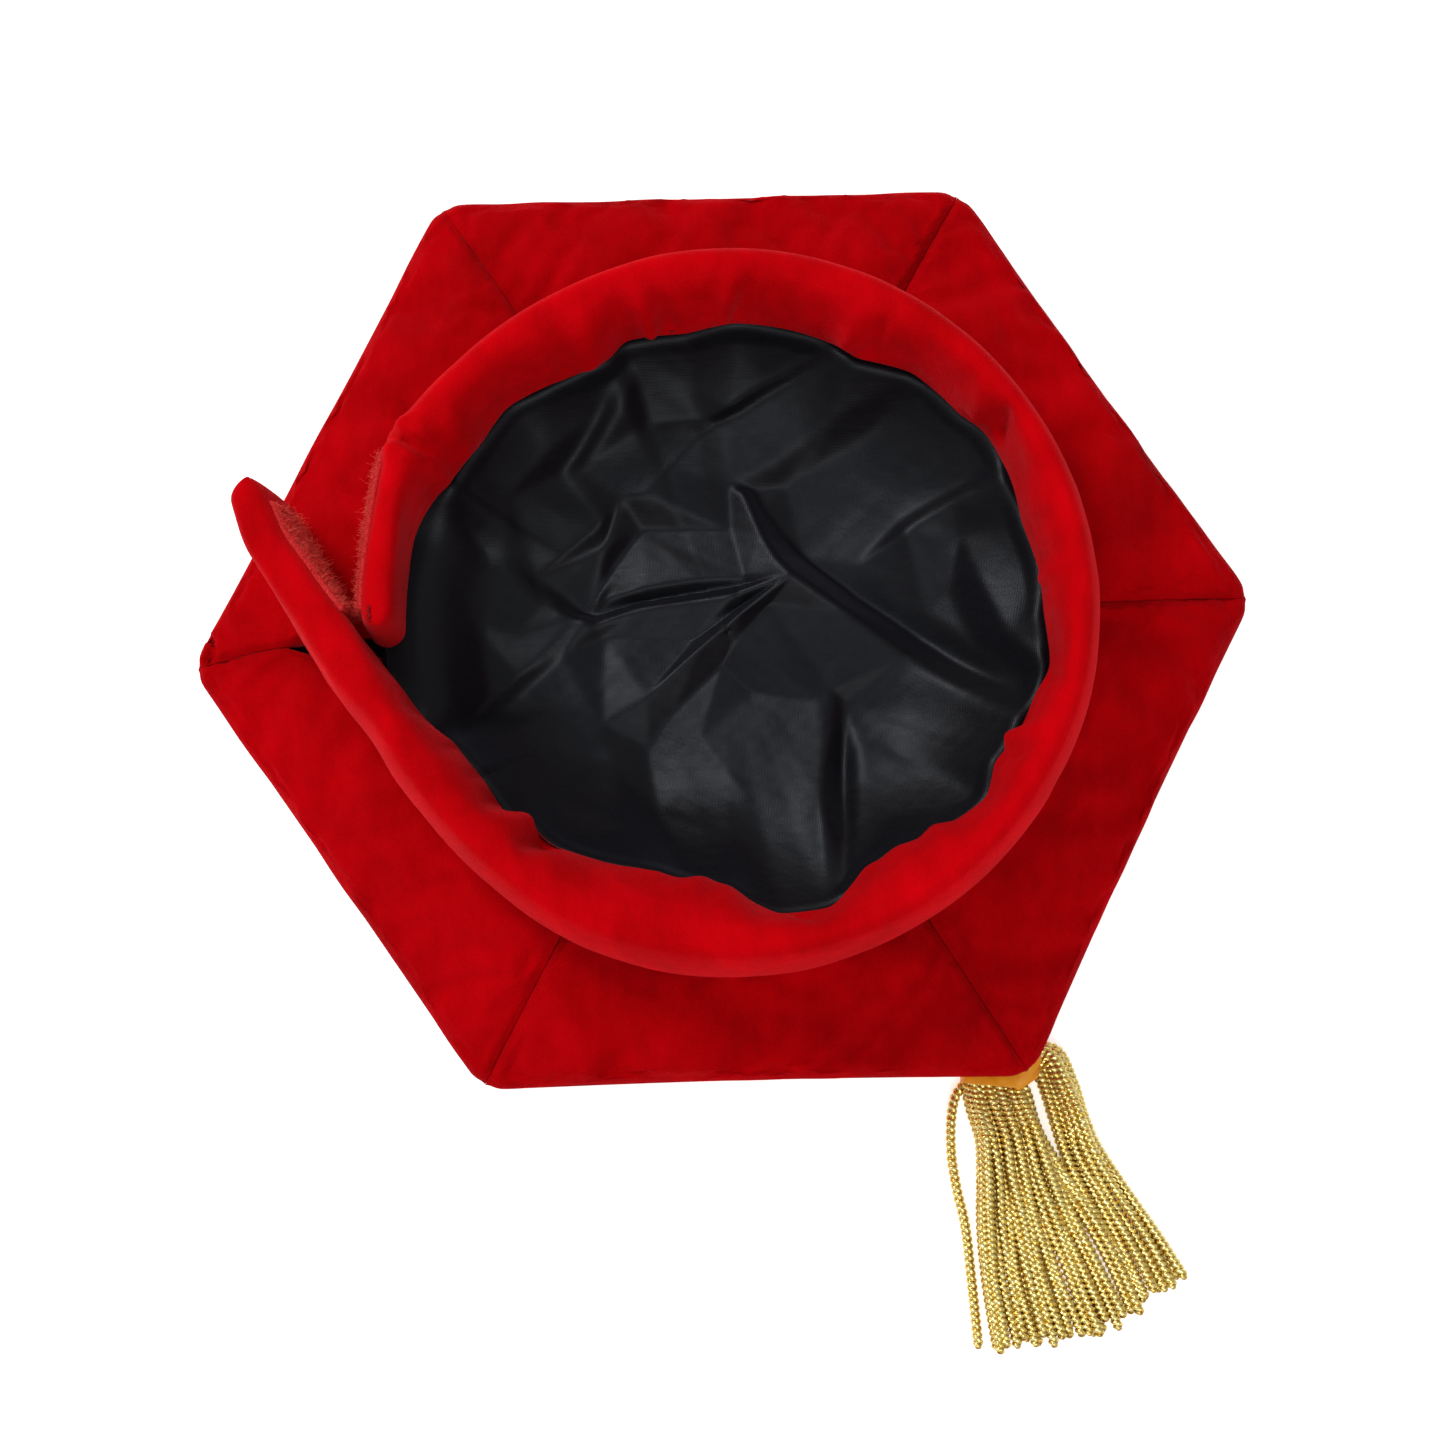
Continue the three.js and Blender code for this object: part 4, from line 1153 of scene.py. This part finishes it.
def add_short_end():
    """The band's other end, which starts tucked into the ring. Returns its wall for the tape."""
    line = curve(SHORT_ROUTE, step=1.1)[::-1][:-1]
    rings, wall = padded_end(line, -1, 1, 34, 0, short_section, 1.6, 4.6)
    middle = rings[0].mean(0)
    tucked = middle + (rings[0] - middle) * 0.95 - np.array([*tangents(line)[0], 0]) * 2.2
    short = loft("short_end_velvet", [tucked, *rings], BAND_VELVET_PAINTED_LIGHTER)
    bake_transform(short)
    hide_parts("short_end_cover", "short_end_foam")
    return wall


band_wall, strap_root = add_band()
short_wall = add_short_end()


# ---- hook and loop tape -----------------------------------------------------------------------------
def face_of(wall, station, height, inner):
    """A point on the outer or inner face of a padded end, at a station, whole or not, and a height."""
    low = int(min(max(station, 0), len(wall[0]) - 2))
    at, n, section = (lerp(part[low], part[low + 1], station - low) for part in wall)
    place = np.linspace(0, len(RING_SECTION), len(section), endpoint=False)
    if inner:
        face = section[(place > RIDGE + 0.5) & (place < FACING + 0.5)]
    else:
        face = section[(place > 1) & (place < RIDGE - 0.5)]
    face = face[np.argsort(face[:, 1])]
    return at + n * np.interp(height, face[:, 1], face[:, 0]), n * (-1 if inner else 1)


def tape(name, wall, first, last, inner, thickness, material):
    """A strip of tape that follows a padded end's face, with a sewn edge and a domed pile."""
    rows, columns = 60, 22
    rng = np.random.default_rng(5)
    outer, under = [], []
    for i, station in enumerate(np.linspace(first, last, rows)):
        top, back = [], []
        for j, z in enumerate(np.linspace(33.0, 57.5, columns)):
            p, n = face_of(wall, station, z, inner)
            edge = min(j, columns - 1 - j, 1.4 * i, 1.4 * (rows - 1 - i), 2.2) / 2.2
            rise = thickness * (0.35 + 0.65 * edge) + rng.uniform(-0.12, 0.12) * edge
            top.append([*(p + n * (rise + 0.25)), z])
            back.append([*(p - n * 0.6), z])
        outer.append(top)
        under.append(back)
    rings = np.concatenate([np.array(outer), np.array(under)[:, ::-1]], 1)
    return loft(name, rings, material)


def fuzz(name, wall, first, last, inner, base, count, tall, thick, seed):
    """Short loose fibres that stand on a tape, each a thin bent rod of three sides."""
    rng = np.random.default_rng(seed)
    points, faces = [], []
    for _ in range(count):
        station, z = rng.uniform(first, last), rng.uniform(33.5, 57)
        p, n = face_of(wall, station, z, inner)
        out = np.array([*n, 0.0])
        foot = np.array([*(p + n * base), z])
        drift = rng.normal(size=3) * 0.55
        size = tall * rng.uniform(0.5, 1.3)
        bend = foot + size * np.array([0 * out, (out + drift * 0.5) * 0.5, out * 0.8 + drift,
                                       out * rng.uniform(0.2, 0.9) + drift * 1.7])
        side = np.cross(bend[-1] - bend[0], rng.normal(size=3))
        side /= np.linalg.norm(side) + 1e-9
        other = np.cross(side, out)
        start = len(points)
        for k, q in enumerate(bend):
            w = thick * (1 - 0.22 * k)
            points += [q + side * w, q + (0.87 * other - 0.5 * side) * w, q - (0.87 * other + 0.5 * side) * w]
        faces += grid_faces(4, 3, wrap=True, first=start)
        faces += [(start, start + 2, start + 1), (start + 9, start + 10, start + 11)]
    return make(name, points, faces, FUZZ)


def add_tapes():
    """Loop tape inside the strap and hook tape outside the short end, each with its loose fibres."""
    last = len(band_wall[0]) - 1
    first_loop, end_loop = (lerp(strap_root, last, share) for share in (0.28, 0.93))
    loop = tape("loop_tape", band_wall, first_loop, end_loop, True, 1.0, LOOP)
    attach(loop, "closure_strap")
    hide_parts("closure_loop_tape")
    pile = fuzz("loop_tape_pile", band_wall, first_loop + 0.5, end_loop - 0.5, True,
                base=1.1, count=2600, tall=1.1, thick=0.085, seed=21)
    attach(pile, "closure_strap")
    count = len(short_wall[0]) - 1
    hook = tape("hook_tape", short_wall, 0.07 * count, 0.93 * count, False, 0.7, HOOK)
    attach(hook, "short_end")
    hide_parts("short_end_hook_tape")
    hooks = fuzz("hook_tape_pile", short_wall, 0.08 * count, 0.92 * count, False,
                 base=0.8, count=2000, tall=1.0, thick=0.075, seed=23)
    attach(hooks, "short_end")


def add_bartack():
    """Zigzag of thread over the top of the short end, where its tape stops."""
    line, normal, sections = short_wall
    route = []
    for k, share in enumerate(np.linspace(0.925, 1.0, 18)):
        station = int(round(share * (len(line) - 1)))
        across = 2.4 + (0.5 if k % 2 else -0.5)
        upper = sections[station][sections[station][:, 1] > 56]
        upper = upper[np.argsort(upper[:, 0])]
        height = np.interp(across, *upper.T) + 0.25
        route.append([*(line[station] + normal[station] * across), height])
    rings = tube(curve(route, step=0.4), 0.2, 6, upright=(0.3, 0.2, 1))
    tack = loft("bartack_thread", rings, THREAD)
    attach(tack, "short_end")
    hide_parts("short_end_bartack")


add_tapes()
add_bartack()

for node, finish in (("crown_stiffener", BOARD), ("crown_button_shank", THREAD)):
    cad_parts[node].data.materials.clear()
    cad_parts[node].data.materials.append(finish)


# ---- floor, light -----------------------------------------------------------------------------------
def add_floor():
    reach, below = 12000, -0.15
    finish = Finish("floor_paper", Roughness=0.9, Specular_IOR_Level=0.1, Emission_Strength=0.62,
                    Emission_Color=(1, 1, 1, 1))
    finish.paint(finish.mix(finish.noise(60, 2), (0.86, 0.86, 0.86), (0.88, 0.88, 0.88)))
    points = np.array([(x, y, below) for y in (-reach, reach) for x in (-reach, reach)])
    mesh = bpy.data.meshes.new("floor")
    mesh.from_pydata((points * MM).tolist(), [], grid_faces(2, 2))
    mesh.materials.append(finish.material)
    floor = bpy.data.objects.new("floor", mesh)
    scene.collection.objects.link(floor)


def add_light(name, place, target, size, power):
    data = bpy.data.lights.new(name, "AREA")
    data.shape, data.size, data.energy = "DISK", size, power
    light = bpy.data.objects.new(name, data)
    light.location = place
    light.rotation_mode = "QUATERNION"
    light.rotation_quaternion = (Vector(target) - Vector(place)).to_track_quat("-Z", "Y")
    scene.collection.objects.link(light)


add_floor()
add_light("key", (-0.8, 0.8, 1.15), (0, 0, 0.03), 0.55, 15)
add_light("fill", (0.1, -1.1, 1.2), (0, 0, 0.03), 0.9, 8)
world = bpy.data.worlds.new("studio")
world.use_nodes = True
world.node_tree.nodes["Background"].inputs["Color"].default_value = (1, 1, 1, 1)
world.node_tree.nodes["Background"].inputs["Strength"].default_value = 0.45
scene.world = world
scene.view_settings.view_transform = "Standard"
